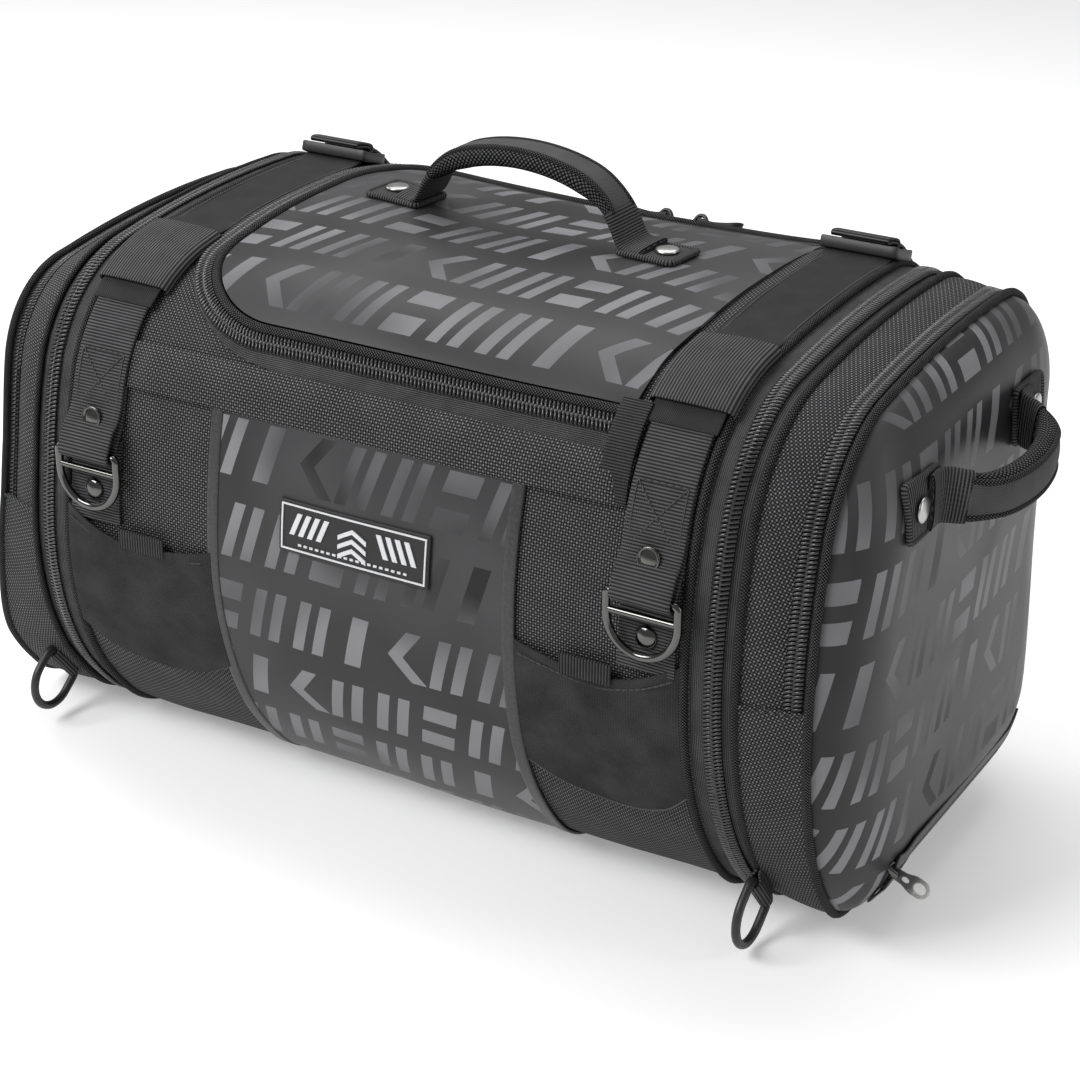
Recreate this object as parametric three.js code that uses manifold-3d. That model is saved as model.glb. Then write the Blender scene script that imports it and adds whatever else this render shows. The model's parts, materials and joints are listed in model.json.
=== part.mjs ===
// Expandable motorcycle tail bag. Millimetres, +Z up, X along the bag, -Y is the front.
// The bag is a sewn tube of one cross-section, closed at each end by a tapered, domed end
// section that slides out on a folded bellows.
import * as THREE from "three";
import { mergeVertices } from "three/addons/utils/BufferGeometryUtils.js";
import Module from "manifold-3d";

const wasm = await Module();
wasm.setup();

// ---------- driving dimensions ----------

// Cross-section: tangent arcs, named round from the lower front corner over the top to the back.
const frontReach = 143.5; // most forward point of the belly
const backReach = 144; // flat back face
const bellyHeight = 150; // height of the most forward point
const bellyRadius = 190;
const bellyEndAngle = 42; // the belly hands over to the lower front corner here
const upperFrontRadius = 300;
const upperFrontAngle = 16;
const shoulderRadius = 80;
const crownRadius = 727;
const crownStartAngle = 82;
const crownEndAngle = 94;
const backCornerRadius = 58;

const gap = 0.4; // clearance between pieces that touch on the real bag
const skinGap = 0.3; // clearance under a skin sewn flat to the body
const clothWall = 2.4; // body cloth with its foam

const bodyHalfLength = 198; // body tube, from the middle to the expansion zipper
const zipperWidth = 9; // coil zipper, over both rows of teeth
const coilHeight = 2.4;
const coilOut = -0.2; // the expansion zipper sits just inside the body's outline
const lidZipperOut = 0.8;
const bellowsDepth = 3.6;
const bellowsLap = 8; // how far the folded bellows reaches under the body
const gussetLength = 26; // nylon gusset between the two zippers of an end
const endTaper = 12; // how far the section shrinks from the body to the end panel
const domeHeight = 24; // bulge of the end panel
const domeShoulder = 42; // width of the curved border round the flat of the bulge
const rimDepth = 4; // straight rim of the end panel
const panelWall = 2; // vinyl end panel and lid with their stiffening
const expansionTravel = 60;

const flapFoldHeight = 150; // the end zipper stops here and the end panel folds

// Lid, seen from above.
const lidLeft = -134;
const lidRight = 138;
const lidFront = -107;
const lidBack = 107;
const lidCornerRadius = 60;
const coverTopAngle = 56; // the flap over the end of the lid's zipper
const coverThickness = 1;
const coverLap = 4;
const tapeWidth = 13; // lid zipper with its two tapes

// Front panel, patch and pockets.
const frontPanelHalfWidth = 94;
const seamHeight = 235;
const frontPanelThickness = 1;
const frontPanelEndAngle = -74;
const patchWidth = 92;
const patchHeight = 28;
const patchThickness = 2.6;
const patchCentreHeight = 184;
const pocketInner = 96.5;
const pocketOuter = 187;
const pocketTop = 150;
const pocketBottom = 72;
const pocketThickness = 1.2;
const tabInner = 122; // pull tab on the pocket's top edge
const tabWidth = 28.5;
const tabTop = 157;
const tabBottom = 146;
const tabThickness = 1.2;

// Straps.
const strapCentre = 168;
const webbingWidth = 33;
const webbingThickness = 2.4;
const webbingTop = 281;
const webbingBottom = 157;
const strapWidth = 38;
const strapThickness = 1.4;
const keeperWidth = 41;
const keeperTop = 292;
const keeperBottom = 276;
const keeperThickness = 2;
const strapBackAngle = 101;
const rivetRadius = 5.8;
const rivetHeight = 2;
const upperRivetHeight = 214;
const lowerRivetHeight = 176;

// Front D-rings.
const wireRadius = 2.2;
const ringOuterWidth = 43;
const ringBarHeight = 197;
const ringCrossBarDrop = 10;
const ringStandoff = 10.4; // bar axis in front of the body cloth
const sleeveWidth = 32;
const sleeveWall = 2;

// Ladder-lock buckles.
const buckleWidth = 44;
const buckleRail = 3.4;
const buckleThickness = 5;
const buckleBarRadius = 2;
const buckleMiddleBar = 10; // from the rear bar, which it turns on
const buckleFront = 21;
const buckleLip = 4.5;
const anchorEndAngle = 232;
const buckleAngle = 108;
const buckleStandoff = 6.2;
const buckleTilt = 4; // its front stands up off the strap

// Lower tabs and D-rings.
const lowerTabWidth = 25;
const lowerTabThickness = 3;
const lowerTabAngle = -37.8;
const lowerTabReach = 11;
const lowerRingOuterWidth = 36;
const lowerRingDepth = 31;
const lowerWireRadius = 2.4;
const lowerTabOffset = { left: 31, right: 8 }; // from the start of the gusset; the left end leans out at its foot

// Handles.
const handleWidth = 31;
const handleThickness = 6;
const padLength = 36;
const padThickness = 4;
const topHandleReach = 66; // from the middle to where a leg leaves its pad
const topHandleRise = 42;
const topHandleY = 35;
const endHandleReach = 50;
const endHandleRise = 27;
const endHandleZ = 238;
const endHandleLean = 5; // its pads follow the curve of the end panel

// Zipper sliders and pull tabs.
const sliderLength = 13;
const sliderWidth = 9;
const pinHeight = 3.4;
const pinRadius = 0.7;
const cheekReach = 3.1;
const eyeHalf = 2.1;
const sliderWall = 1.2;
const cheekHalf = 2;
const pullNeck = 3.4; // a pull tab widens between its neck and its shoulder
const pullShoulder = 4.6;
const pullRim = 1.5; // round the hole at its free end
const eyeWall = 0.8;
const lidSliderSpots = [37, 60];
const lidSliderY = 113;
const lidPullerLength = 18;
const lidPullerDroop = 3; // it slopes down towards its free end
const pocketPullerLength = 26;
const pocketSliderAngle = -57;
const pocketSliderInside = 15; // from the rim of the end panel
const pocketPullerWidth = 9;
const pocketPullerThickness = 1.2;
const lidPullerWidth = 6;
const lidPullerThickness = 1;
const pocketSliderLift = 1.8;

// ---------- materials ----------

const cloth = (color, roughness, metalness = 0) =>
  new THREE.MeshStandardMaterial({ color, roughness, metalness });
const nylon = cloth(0x232325, 0.9);
const vinyl = cloth(0x57555a, 0.5);
const elastic = cloth(0x2a292c, 0.95);
const webbing = cloth(0x1d1d1f, 0.85);
const coil = cloth(0x2e2e31, 0.45);
const rubber = cloth(0x1b1b1d, 0.6);
const plastic = cloth(0x232324, 0.5);
const blackNickel = cloth(0x55565a, 0.25, 0.9);
const satinSteel = cloth(0xb9b6b0, 0.35, 0.9);
const blackWire = cloth(0x2b2b2d, 0.55, 0.3);
const board = cloth(0x303033, 0.7);

// ---------- cross-section ----------

const rad = THREE.MathUtils.degToRad;
const deg = THREE.MathUtils.radToDeg;

// An arc of the section is given by its centre, its radius and the angles of its outward normal:
// 0 faces the front, 90 up, 180 the back and -90 down. steps is its number of flats.
function buildSection() {
  const arcs = [];
  const at = (arc, angle) => [
    arc.y - arc.r * Math.cos(rad(angle)),
    arc.z + arc.r * Math.sin(rad(angle)),
  ];
  const follow = (r, to, steps) => {
    const last = arcs[arcs.length - 1];
    const [y, z] = at(last, last.to);
    const from = last.to;
    const centre = { y: y + r * Math.cos(rad(from)), z: z - r * Math.sin(rad(from)) };
    arcs.push({ ...centre, r, from, to, steps });
  };
  const belly = {
    y: bellyRadius - frontReach,
    z: bellyHeight,
    r: bellyRadius,
    from: -bellyEndAngle,
    to: 0,
    steps: 5,
  };
  const [cornerY, cornerZ] = at(belly, belly.from);
  const frontCornerRadius = cornerZ / (1 - Math.sin(rad(bellyEndAngle)));
  arcs.push({
    y: cornerY + frontCornerRadius * Math.cos(rad(bellyEndAngle)),
    z: frontCornerRadius,
    r: frontCornerRadius,
    from: -90,
    to: -bellyEndAngle,
    steps: 4,
  });
  arcs.push(belly);
  follow(upperFrontRadius, upperFrontAngle, 2);
  follow(shoulderRadius, crownStartAngle, 6);
  follow(crownRadius, crownEndAngle, 2);
  const crown = arcs[arcs.length - 1];
  const [crownY] = at(crown, crownEndAngle);
  follow((backReach - crownY) / (1 + Math.cos(rad(crownEndAngle))), 180, 7);
  const backCorner = { y: backReach - backCornerRadius, z: backCornerRadius, r: backCornerRadius };
  arcs.push({ ...backCorner, from: 180, to: 270, steps: 6 });
  return arcs;
}
const section = buildSection();
const crownArc = section[4];
const crownTop = crownArc.z + crownArc.r;
const backFaceTop = section[5].z;
const flatBottomFront = section[0].y;
const flatBottomBack = section[6].y;

// The normal angles where one flat ends and the next begins.
const corners = section.flatMap((arc) =>
  Array.from({ length: arc.steps + 1 }, (_, i) => ({
    arc,
    angle: arc.from + ((arc.to - arc.from) * i) / arc.steps,
  })),
);

function cornerPoint({ arc, angle }, out) {
  const r = arc.r + out;
  return { y: arc.y - r * Math.cos(rad(angle)), z: arc.z + r * Math.sin(rad(angle)) };
}

const crownPeak = Math.max(...corners.map((c) => cornerPoint(c, 0).z));

// The point of the faceted section at a normal angle, moved outwards by out.
function sectionPoint(angle, out = 0) {
  const i = corners.findIndex(
    (c, k) => k && c.arc === corners[k - 1].arc && angle <= c.angle + 1e-9 && angle >= corners[k - 1].angle - 1e-9,
  );
  const [a, b] = [corners[i - 1], corners[i]];
  const [from, to] = [cornerPoint(a, out), cornerPoint(b, out)];
  const t = (angle - a.angle) / (b.angle - a.angle);
  return {
    y: from.y + t * (to.y - from.y),
    z: from.z + t * (to.z - from.z),
    facing: (a.angle + b.angle) / 2,
  };
}

// The normal angle of the front face at a height.
function frontAngle(height) {
  for (let i = 1; i < corners.length; i++) {
    const [a, b] = [corners[i - 1], corners[i]];
    if (a.arc !== b.arc || a.angle < -90) continue;
    const [low, high] = [cornerPoint(a, 0).z, cornerPoint(b, 0).z];
    if (height >= low && height <= high) {
      return a.angle + ((height - low) / (high - low)) * (b.angle - a.angle);
    }
  }
  return 90;
}

function outlineShape(points) {
  return new THREE.Shape(points.map(({ y, z }) => new THREE.Vector2(y, z)));
}

// One corner where two arcs meet smoothly, both where the flat back or bottom lies between them.
const flatStarts = [section[5], section[6]];
const outline = corners.filter((c) => c.angle !== c.arc.to || flatStarts.includes(c.arc));

// The whole section, grown outwards by out.
const sectionShape = (out = 0) => outlineShape(outline.map((c) => cornerPoint(c, out)));

// A strip of even thickness that follows the section between two normal angles.
function stripShape(fromAngle, toAngle, inner, outer) {
  const between = outline.filter((c) => c.angle > fromAngle + 0.01 && c.angle < toAngle - 0.01);
  const run = (out) => [
    sectionPoint(fromAngle, out),
    ...between.map((c) => cornerPoint(c, out)),
    sectionPoint(toAngle, out),
  ];
  return outlineShape([...run(outer), ...run(inner).reverse()]);
}

// ---------- shaping helpers ----------

// Extrudes a shape drawn in the YZ plane along X, from x0 to x1.
function alongX(shape, x0, x1) {
  const g = new THREE.ExtrudeGeometry(shape, { depth: x1 - x0, bevelEnabled: false });
  return g.applyMatrix4(yzToX).translate(x0, 0, 0);
}
const yzToX = new THREE.Matrix4().makeBasis(
  new THREE.Vector3(0, 1, 0),
  new THREE.Vector3(0, 0, 1),
  new THREE.Vector3(1, 0, 0),
);

function alongZ(shape, z0, z1, curveSegments) {
  const g = new THREE.ExtrudeGeometry(shape, { depth: z1 - z0, bevelEnabled: false, curveSegments });
  return g.translate(0, 0, z0);
}

function block(x0, x1, y0, y1, z0, z1) {
  return new THREE.BoxGeometry(x1 - x0, y1 - y0, z1 - z0).translate(
    (x0 + x1) / 2,
    (y0 + y1) / 2,
    (z0 + z1) / 2,
  );
}

function roundedRect(x0, y0, x1, y1, r) {
  const s = new THREE.Shape();
  s.moveTo(x0 + r, y0);
  s.absarc(x1 - r, y0 + r, r, -Math.PI / 2, 0, false);
  s.absarc(x1 - r, y1 - r, r, 0, Math.PI / 2, false);
  s.absarc(x0 + r, y1 - r, r, Math.PI / 2, Math.PI, false);
  s.absarc(x0 + r, y0 + r, r, Math.PI, 1.5 * Math.PI, false);
  s.closePath();
  return s;
}

// A round bar between two points.
function rod(a, b, radius, sides = 8) {
  const from = new THREE.Vector3(...a);
  const to = new THREE.Vector3(...b);
  const g = new THREE.CylinderGeometry(radius, radius, from.distanceTo(to), sides);
  const turn = new THREE.Quaternion().setFromUnitVectors(
    new THREE.Vector3(0, 1, 0),
    to.clone().sub(from).normalize(),
  );
  return g.applyQuaternion(turn).translate(...from.add(to).multiplyScalar(0.5).toArray());
}

// A closed three.js geometry as a solid for joining and cutting.
function solid(geometry) {
  const bare = geometry.clone();
  bare.deleteAttribute("normal");
  bare.deleteAttribute("uv");
  const merged = mergeVertices(bare, 1e-3);
  return new wasm.Manifold(
    new wasm.Mesh({
      numProp: 3,
      vertProperties: new Float32Array(merged.attributes.position.array),
      triVerts: new Uint32Array(merged.index.array),
    }),
  );
}
const join = (...parts) => parts.reduce((a, b) => a.add(b));

function toGeometry(body) {
  const mesh = body.getMesh();
  const position = new Float32Array(mesh.numVert * 3);
  for (let i = 0; i < mesh.numVert; i++) {
    const start = i * mesh.numProp;
    position.set(mesh.vertProperties.subarray(start, start + 3), 3 * i);
  }
  const g = new THREE.BufferGeometry().setAttribute("position", new THREE.BufferAttribute(position, 3));
  g.setIndex(new THREE.BufferAttribute(new Uint32Array(mesh.triVerts), 1));
  g.computeVertexNormals();
  return g;
}

const bag = new THREE.Group();
function put(name, body, material) {
  const geometry = body.isBufferGeometry ? body : toGeometry(body);
  const mesh = new THREE.Mesh(geometry, material);
  mesh.name = name;
  bag.add(mesh);
}
const sides = [
  { name: "left", sign: -1 },
  { name: "right", sign: 1 },
];
const mirrored = (body, sign) => (sign < 0 ? body.mirror([1, 0, 0]) : body);

// ---------- body tube ----------

const farOut = 400;
const margin = 40; // how far a cutting shape reaches past what it cuts
const aboveAll = crownTop + margin;
const belowLid = crownTop - 80; // the lid and its zipper lie above this height
const pastLidLeft = lidLeft - 2 * margin;
const pastLidRight = lidRight + margin;
const zipperEnds = 2; // the zipper stops this far short of the fold

// A prism through the top, larger than the lid by an outset.
function lidPrism(outset, right = lidRight + outset) {
  const outline = roundedRect(
    lidLeft - outset,
    lidFront - outset,
    right + 2 * lidCornerRadius,
    lidBack + outset,
    lidCornerRadius + outset,
  );
  const prism = solid(alongZ(outline, belowLid, aboveAll, 4));
  return prism.intersect(solid(block(pastLidLeft, right, -farOut, farOut, belowLid, aboveAll)));
}

const ring = (outer, inner, x0, x1) =>
  solid(alongX(sectionShape(outer), x0, x1)).subtract(solid(alongX(sectionShape(inner), x0 - 5, x1 + 5)));

function addBody() {
  const tube = ring(0, -clothWall, -bodyHalfLength, bodyHalfLength);
  put("body_shell", tube.subtract(lidPrism(tapeWidth, lidRight + gap)), nylon);

  const boardThickness = 2;
  const boardInset = 12; // from the end of the body tube
  const x = bodyHalfLength - boardInset;
  const floor = clothWall + gap;
  const [front, back] = [flatBottomFront + gap, flatBottomBack - gap];
  put("base_board", block(-x, x, front, back, floor, floor + boardThickness), board);
}

// ---------- front panel, patch, pockets ----------

function addFront() {
  const panel = stripShape(
    frontPanelEndAngle,
    frontAngle(seamHeight),
    skinGap,
    skinGap + frontPanelThickness,
  );
  put("front_panel", alongX(panel, -frontPanelHalfWidth, frontPanelHalfWidth), vinyl);

  const seat = sectionPoint(frontAngle(patchCentreHeight), skinGap + frontPanelThickness + gap);
  const badge = roundedRect(-patchWidth / 2, -patchHeight / 2, patchWidth / 2, patchHeight / 2, 1.5);
  const patch = alongZ(badge, 0, patchThickness, 1);
  patch.rotateX(Math.PI / 2 - rad(seat.facing)).translate(0, seat.y, seat.z);
  put("badge_patch", patch, rubber);

  const pocketOut = skinGap + pocketThickness;
  const pocket = stripShape(frontAngle(pocketBottom), frontAngle(pocketTop), skinGap, pocketOut);
  const tab = stripShape(
    frontAngle(tabBottom),
    frontAngle(tabTop),
    pocketOut + skinGap,
    pocketOut + skinGap + tabThickness,
  );
  for (const { name, sign } of sides) {
    const spread = (shape, from, width) => mirrored(solid(alongX(shape, from, from + width)), sign);
    put(`pocket_${name}`, spread(pocket, pocketInner, pocketOuter - pocketInner), elastic);
    put(`pocket_tab_${name}`, spread(tab, tabInner, tabWidth), webbing);
  }
}

// ---------- lid, its zipper and handle ----------

function addLid() {
  const zipperSkin = ring(lidZipperOut, -clothWall, pastLidLeft, pastLidRight);
  const band = lidPrism(tapeWidth - gap, lidRight - zipperEnds).subtract(lidPrism(gap, pastLidRight));
  put("lid_zipper", zipperSkin.intersect(band), coil);

  const coverIn = lidZipperOut + skinGap;
  const cover = stripShape(frontAngle(seamHeight), coverTopAngle, coverIn, coverIn + coverThickness);
  const coverRight = strapCentre - keeperWidth / 2 - 2 * gap;
  put("zipper_cover", alongX(cover, lidRight - coverLap, coverRight), nylon);

  put("lid_panel", ring(0, -panelWall, pastLidLeft, pastLidRight).intersect(lidPrism(0)), vinyl);
}

// A webbing handle: two flat pads and an arch, drawn in a plane and widened across it.
function handleBody(reach, rise, curveSegments) {
  const half = handleThickness / 2;
  const s = new THREE.Shape();
  s.moveTo(reach + padLength, 0);
  s.lineTo(reach + padLength, padThickness);
  s.absellipse(0, padThickness, reach + half, rise + half, 0, Math.PI, false);
  s.lineTo(-reach - padLength, padThickness);
  s.lineTo(-reach - padLength, 0);
  s.lineTo(-reach + half, 0);
  s.absellipse(0, padThickness, reach - half, rise - half, Math.PI, 0, true);
  s.lineTo(reach - half, 0);
  s.closePath();
  const g = new THREE.ExtrudeGeometry(s, { depth: handleWidth, bevelEnabled: false, curveSegments });
  return g.translate(0, 0, -handleWidth / 2);
}

function rivet(radius = rivetRadius, height = rivetHeight) {
  const profile = [
    [0, 0],
    [radius, 0],
    [radius, 0.35 * height],
    [0.6 * radius, 0.85 * height],
    [0, height],
  ].map(([r, h]) => new THREE.Vector2(r, h));
  return new THREE.LatheGeometry(profile, 10);
}

function addTopHandle() {
  const seat = crownPeak + gap;
  const g = handleBody(topHandleReach, topHandleRise, 9);
  put("top_handle", g.rotateX(Math.PI / 2).translate(0, topHandleY, seat), webbing);
  for (const { name, sign } of sides) {
    const cap = rivet().rotateX(Math.PI / 2);
    cap.translate(sign * (topHandleReach + 0.55 * padLength), topHandleY, seat + padThickness + skinGap);
    put(`top_handle_rivet_${name}`, cap, satinSteel);
  }
}

// A slider with two cheeks that hold the pin of its pull tab, rising along +Z; the pin lies along Y.
function sliderBody() {
  const [l, w] = [sliderLength / 2, sliderWidth / 2];
  const plate = solid(block(-l, l, -w, w, 0, sliderWall));
  const wall = sliderWall / 2;
  const cheek = (y) => solid(block(-cheekHalf, cheekHalf, y - wall, y + wall, wall, pinHeight + sliderWall));
  const pin = solid(rod([0, -cheekReach, pinHeight], [0, cheekReach, pinHeight], pinRadius));
  return join(plate, cheek(-cheekReach), cheek(cheekReach), pin);
}

// A pull tab along +X with its eye round the Y axis.
function pullTab(length, width, thickness) {
  const half = width / 2;
  const edge = new THREE.Shape();
  edge.moveTo(0, -eyeHalf);
  edge.lineTo(pullNeck, -eyeHalf);
  edge.lineTo(pullShoulder, -half);
  edge.lineTo(length - half, -half);
  edge.absarc(length - half, 0, half, -Math.PI / 2, Math.PI / 2, false);
  edge.lineTo(pullShoulder, half);
  edge.lineTo(pullNeck, eyeHalf);
  edge.lineTo(0, eyeHalf);
  edge.closePath();
  const hole = new THREE.Path();
  hole.absarc(length - half, 0, half - pullRim, 0, 2 * Math.PI, true);
  edge.holes.push(hole);
  const bore = pinRadius + skinGap;
  const across = (r, h) => solid(rod([0, -h, 0], [0, h, 0], r));
  return join(solid(alongZ(edge, -thickness / 2, thickness / 2, 4)), across(bore + eyeWall, eyeHalf))
    .subtract(across(bore, 2 * eyeHalf));
}

function addLidSliders() {
  const angle = deg(Math.acos((section[5].y - lidSliderY) / section[5].r));
  const seat = sectionPoint(angle, lidZipperOut + gap);
  const lean = rad(90 - seat.facing);
  lidSliderSpots.forEach((x, i) => {
    const seated = (body) => body.rotate([deg(lean), 0, 0]).translate([x, seat.y, seat.z]);
    put(`lid_slider_${i + 1}`, seated(sliderBody()), plastic);
    const tab = pullTab(lidPullerLength, lidPullerWidth, lidPullerThickness).rotate([0, lidPullerDroop, i ? 0 : 180]);
    put(`lid_puller_${i + 1}`, seated(tab.translate([0, 0, pinHeight])), rubber);
  });
}

// ---------- front straps ----------

const webOut = skinGap + webbingThickness;
const strapOut = skinGap + strapThickness;
const keeperOut = webOut + gap + keeperThickness;

// A D-ring that hangs below its bar: bar on the X axis, bow towards -Z.
function dRing(outerWidth, wire, depth, crossBarDrop = 0) {
  const radius = outerWidth / 2 - wire;
  const legEnd = wire + radius - depth;
  const bow = solid(new THREE.TorusGeometry(radius, wire, 8, 24))
    .rotate([90, 0, 0])
    .translate([0, 0, legEnd])
    .intersect(solid(block(-99, 99, -99, 99, -99, legEnd + 0.01)));
  const leg = (sign) => solid(rod([sign * radius, 0, legEnd], [sign * radius, 0, wire], wire));
  const bar = (z, r) => solid(rod([-radius, 0, z], [radius, 0, z], r));
  const loop = join(bow, leg(-1), leg(1), bar(0, wire));
  return crossBarDrop ? loop.add(bar(-crossBarDrop, 0.85 * wire)) : loop;
}

function addStraps() {
  const ringAxis = sectionPoint(frontAngle(ringBarHeight), ringStandoff);
  const bore = wireRadius + gap;
  const sleeveOuter = bore + sleeveWall;
  const web = stripShape(frontAngle(webbingBottom), frontAngle(webbingTop), skinGap, webOut);
  const strapFrom = frontAngle(webbingTop) + 1;
  const strap = stripShape(strapFrom, strapBackAngle, skinGap, strapOut);
  const keeperFrom = frontAngle(keeperBottom);
  const keeperTo = frontAngle(keeperTop);

  for (const { name, sign } of sides) {
    const x = sign * strapCentre;
    const span = (width) => [x - width / 2, x + width / 2];
    const tube = (r, half) => solid(rod([x - half, ringAxis.y, ringAxis.z], [x + half, ringAxis.y, ringAxis.z], r, 12));
    const neck = block(
      ...span(sleeveWidth),
      ringAxis.y,
      ringAxis.y + ringStandoff - webbingThickness / 2,
      ringAxis.z + 1,
      ringAxis.z + sleeveOuter - 0.2,
    );
    const sheet = solid(alongX(web, ...span(webbingWidth)));
    const folded = join(sheet, tube(sleeveOuter, sleeveWidth / 2), solid(neck));
    put(`front_webbing_${name}`, folded.subtract(tube(bore, sleeveWidth)), webbing);

    put(`top_strap_${name}`, alongX(strap, ...span(strapWidth)), webbing);

    const wrap = solid(alongX(stripShape(keeperFrom, keeperTo, skinGap, keeperOut), ...span(keeperWidth)));
    const through = stripShape(keeperFrom - 4, keeperTo + 4, -2, webOut + gap);
    put(`keeper_${name}`, wrap.subtract(solid(alongX(through, ...span(strapWidth + 2 * gap)))), webbing);

    for (const [place, height] of [
      ["upper", upperRivetHeight],
      ["lower", lowerRivetHeight],
    ]) {
      const seat = sectionPoint(frontAngle(height), webOut + skinGap);
      const cap = rivet().rotateX(Math.PI - rad(seat.facing));
      put(`webbing_rivet_${name}_${place}`, cap.translate(x, seat.y, seat.z), blackNickel);
    }

    const depth = ringCrossBarDrop + ringOuterWidth / 2 + wireRadius;
    const hanging = dRing(ringOuterWidth, wireRadius, depth, ringCrossBarDrop);
    put(`front_ring_${name}`, hanging.translate([x, ringAxis.y, ringAxis.z]), blackNickel);
  }
}

// ---------- ladder-lock buckles and rear anchors ----------

function addBuckles() {
  const axis = sectionPoint(buckleAngle, buckleStandoff);
  const half = buckleWidth / 2;
  const bore = buckleBarRadius + gap;
  const sleeveOuter = bore + webbingThickness;
  const anchor = stripShape(buckleAngle + 2, anchorEndAngle, skinGap, webOut);
  for (const { name, sign } of sides) {
    const x = sign * strapCentre;
    const bar = (y) => solid(rod([-half + 1, y, 0], [half - 1, y, 0], buckleBarRadius));
    const rail = (side) =>
      block(
        side < 0 ? -half : half - buckleRail,
        side < 0 ? -half + buckleRail : half,
        -buckleFront,
        buckleBarRadius + 0.6,
        -buckleThickness / 2,
        buckleThickness / 2,
      );
    const lip = block(-half, half, -buckleFront, -buckleFront + buckleLip, -buckleThickness / 2, buckleThickness / 2);
    const frame = join(solid(rail(-1)), solid(rail(1)), solid(lip), bar(0), bar(-buckleMiddleBar));
    const lean = 90 - axis.facing - buckleTilt;
    put(`buckle_${name}`, frame.rotate([lean, 0, 0]).translate([x, axis.y, axis.z]), plastic);

    const sheet = solid(alongX(anchor, x - webbingWidth / 2, x + webbingWidth / 2));
    const tube = (r, w) => solid(rod([x - w / 2, axis.y, axis.z], [x + w / 2, axis.y, axis.z], r, 12));
    const toSheet = sectionPoint(buckleAngle + 4, skinGap + webbingThickness / 2);
    const neck = solid(block(x - webbingWidth / 2, x + webbingWidth / 2, -1.5, 1.5, -buckleStandoff + 1, 0))
      .translate([-x, 0, 0])
      .rotate([90 - axis.facing, 0, 0])
      .translate([x, toSheet.y, toSheet.z + buckleStandoff - 1]);
    const looped = join(sheet, tube(sleeveOuter, webbingWidth), neck).subtract(tube(bore, 2 * webbingWidth));
    put(`rear_anchor_${name}`, looped, webbing);
  }
}

// ---------- expansion zippers, bellows and end sections ----------

const coilStart = bodyHalfLength + gap;
const gussetStart = coilStart + zipperWidth + gap;
const gussetEnd = gussetStart + gussetLength;
const rimStart = gussetEnd + gap + zipperWidth + gap;
const taperStart = 1.5; // the gusset starts this far inside the body
const taperLength = rimStart - gussetStart;
const domeTop = rimStart + rimDepth + domeHeight;
const zone = (x0, x1, z0, z1) => solid(block(x0, x1, -farOut, farOut, z0, z1));

// A chamfered or rounded block on the section, its wide side at x and its narrow side beyond.
function pillow(x, inset, width, height, segments, straight) {
  const g = new THREE.ExtrudeGeometry(sectionShape(-inset - width), {
    depth: straight,
    bevelEnabled: true,
    bevelThickness: height,
    bevelSize: width,
    bevelSegments: segments,
  });
  return solid(g.applyMatrix4(yzToX).translate(x, 0, 0));
}
const taper = (inset) => pillow(gussetStart - 10, taperStart + inset, endTaper - taperStart, taperLength, 1, 10);
const domeInset = endTaper + gap;
// The dome's border can't be wider than the tightest corner of the section lets it be.
const tightest = Math.min(...section.map((arc) => arc.r));
const domeBorder = Math.min(domeShoulder, tightest - domeInset - panelWall - 1);
const dome = (inset) => pillow(rimStart, domeInset + inset, domeBorder, domeHeight - inset, 3, rimDepth);

function addEnd({ name, sign }) {
  const end = (node, body, material) => put(`${node}_${name}`, mirrored(body, sign), material);

  end("expansion_zipper", ring(coilOut, coilOut - coilHeight, coilStart, coilStart + zipperWidth), coil);
  const bellowsOut = coilOut - coilHeight - gap;
  const bellowsEnd = gussetStart - gap;
  end("bellows", ring(bellowsOut, bellowsOut - bellowsDepth, bodyHalfLength - bellowsLap, bellowsEnd), nylon);

  const upper = zone(0, farOut, flapFoldHeight + gap, farOut);
  const lower = zone(0, farOut, -farOut, flapFoldHeight - gap);
  const wall = taper(0).intersect(zone(gussetStart, farOut, -farOut, farOut)).subtract(taper(clothWall));
  const aboveFold = zone(gussetEnd, farOut, flapFoldHeight - gap, farOut);
  end("end_shell", wall.subtract(aboveFold), nylon);

  const band = taper(-0.8).subtract(taper(clothWall));
  const zipper = band.intersect(zone(gussetEnd + gap, rimStart - gap, flapFoldHeight + gap, farOut));
  end("end_zipper", zipper, coil);

  const panel = dome(0).subtract(dome(panelWall)).intersect(zone(rimStart + gap, farOut, -farOut, farOut));
  end("end_flap", panel.intersect(upper), vinyl);
  end("end_panel_lower", panel.intersect(lower), vinyl);

  addEndHandle(end);
  addLowerRing(end, lowerTabOffset[name]);
  addPocketSlider(end);
}

function addEndHandle(end) {
  const place = (g) => g.rotateY(-rad(endHandleLean)).translate(domeTop + 2 * gap, 0, endHandleZ);
  const handle = handleBody(endHandleReach, endHandleRise, 8).rotateZ(-Math.PI / 2);
  end("end_handle", solid(place(handle)), webbing);
  for (const [spot, side] of [
    ["front", -1],
    ["back", 1],
  ]) {
    const cap = rivet().rotateZ(-Math.PI / 2);
    cap.translate(padThickness + skinGap, side * (endHandleReach + 0.62 * padLength), 0);
    end(`end_handle_rivet_${spot}`, solid(place(cap)), satinSteel);
  }
}

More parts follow.
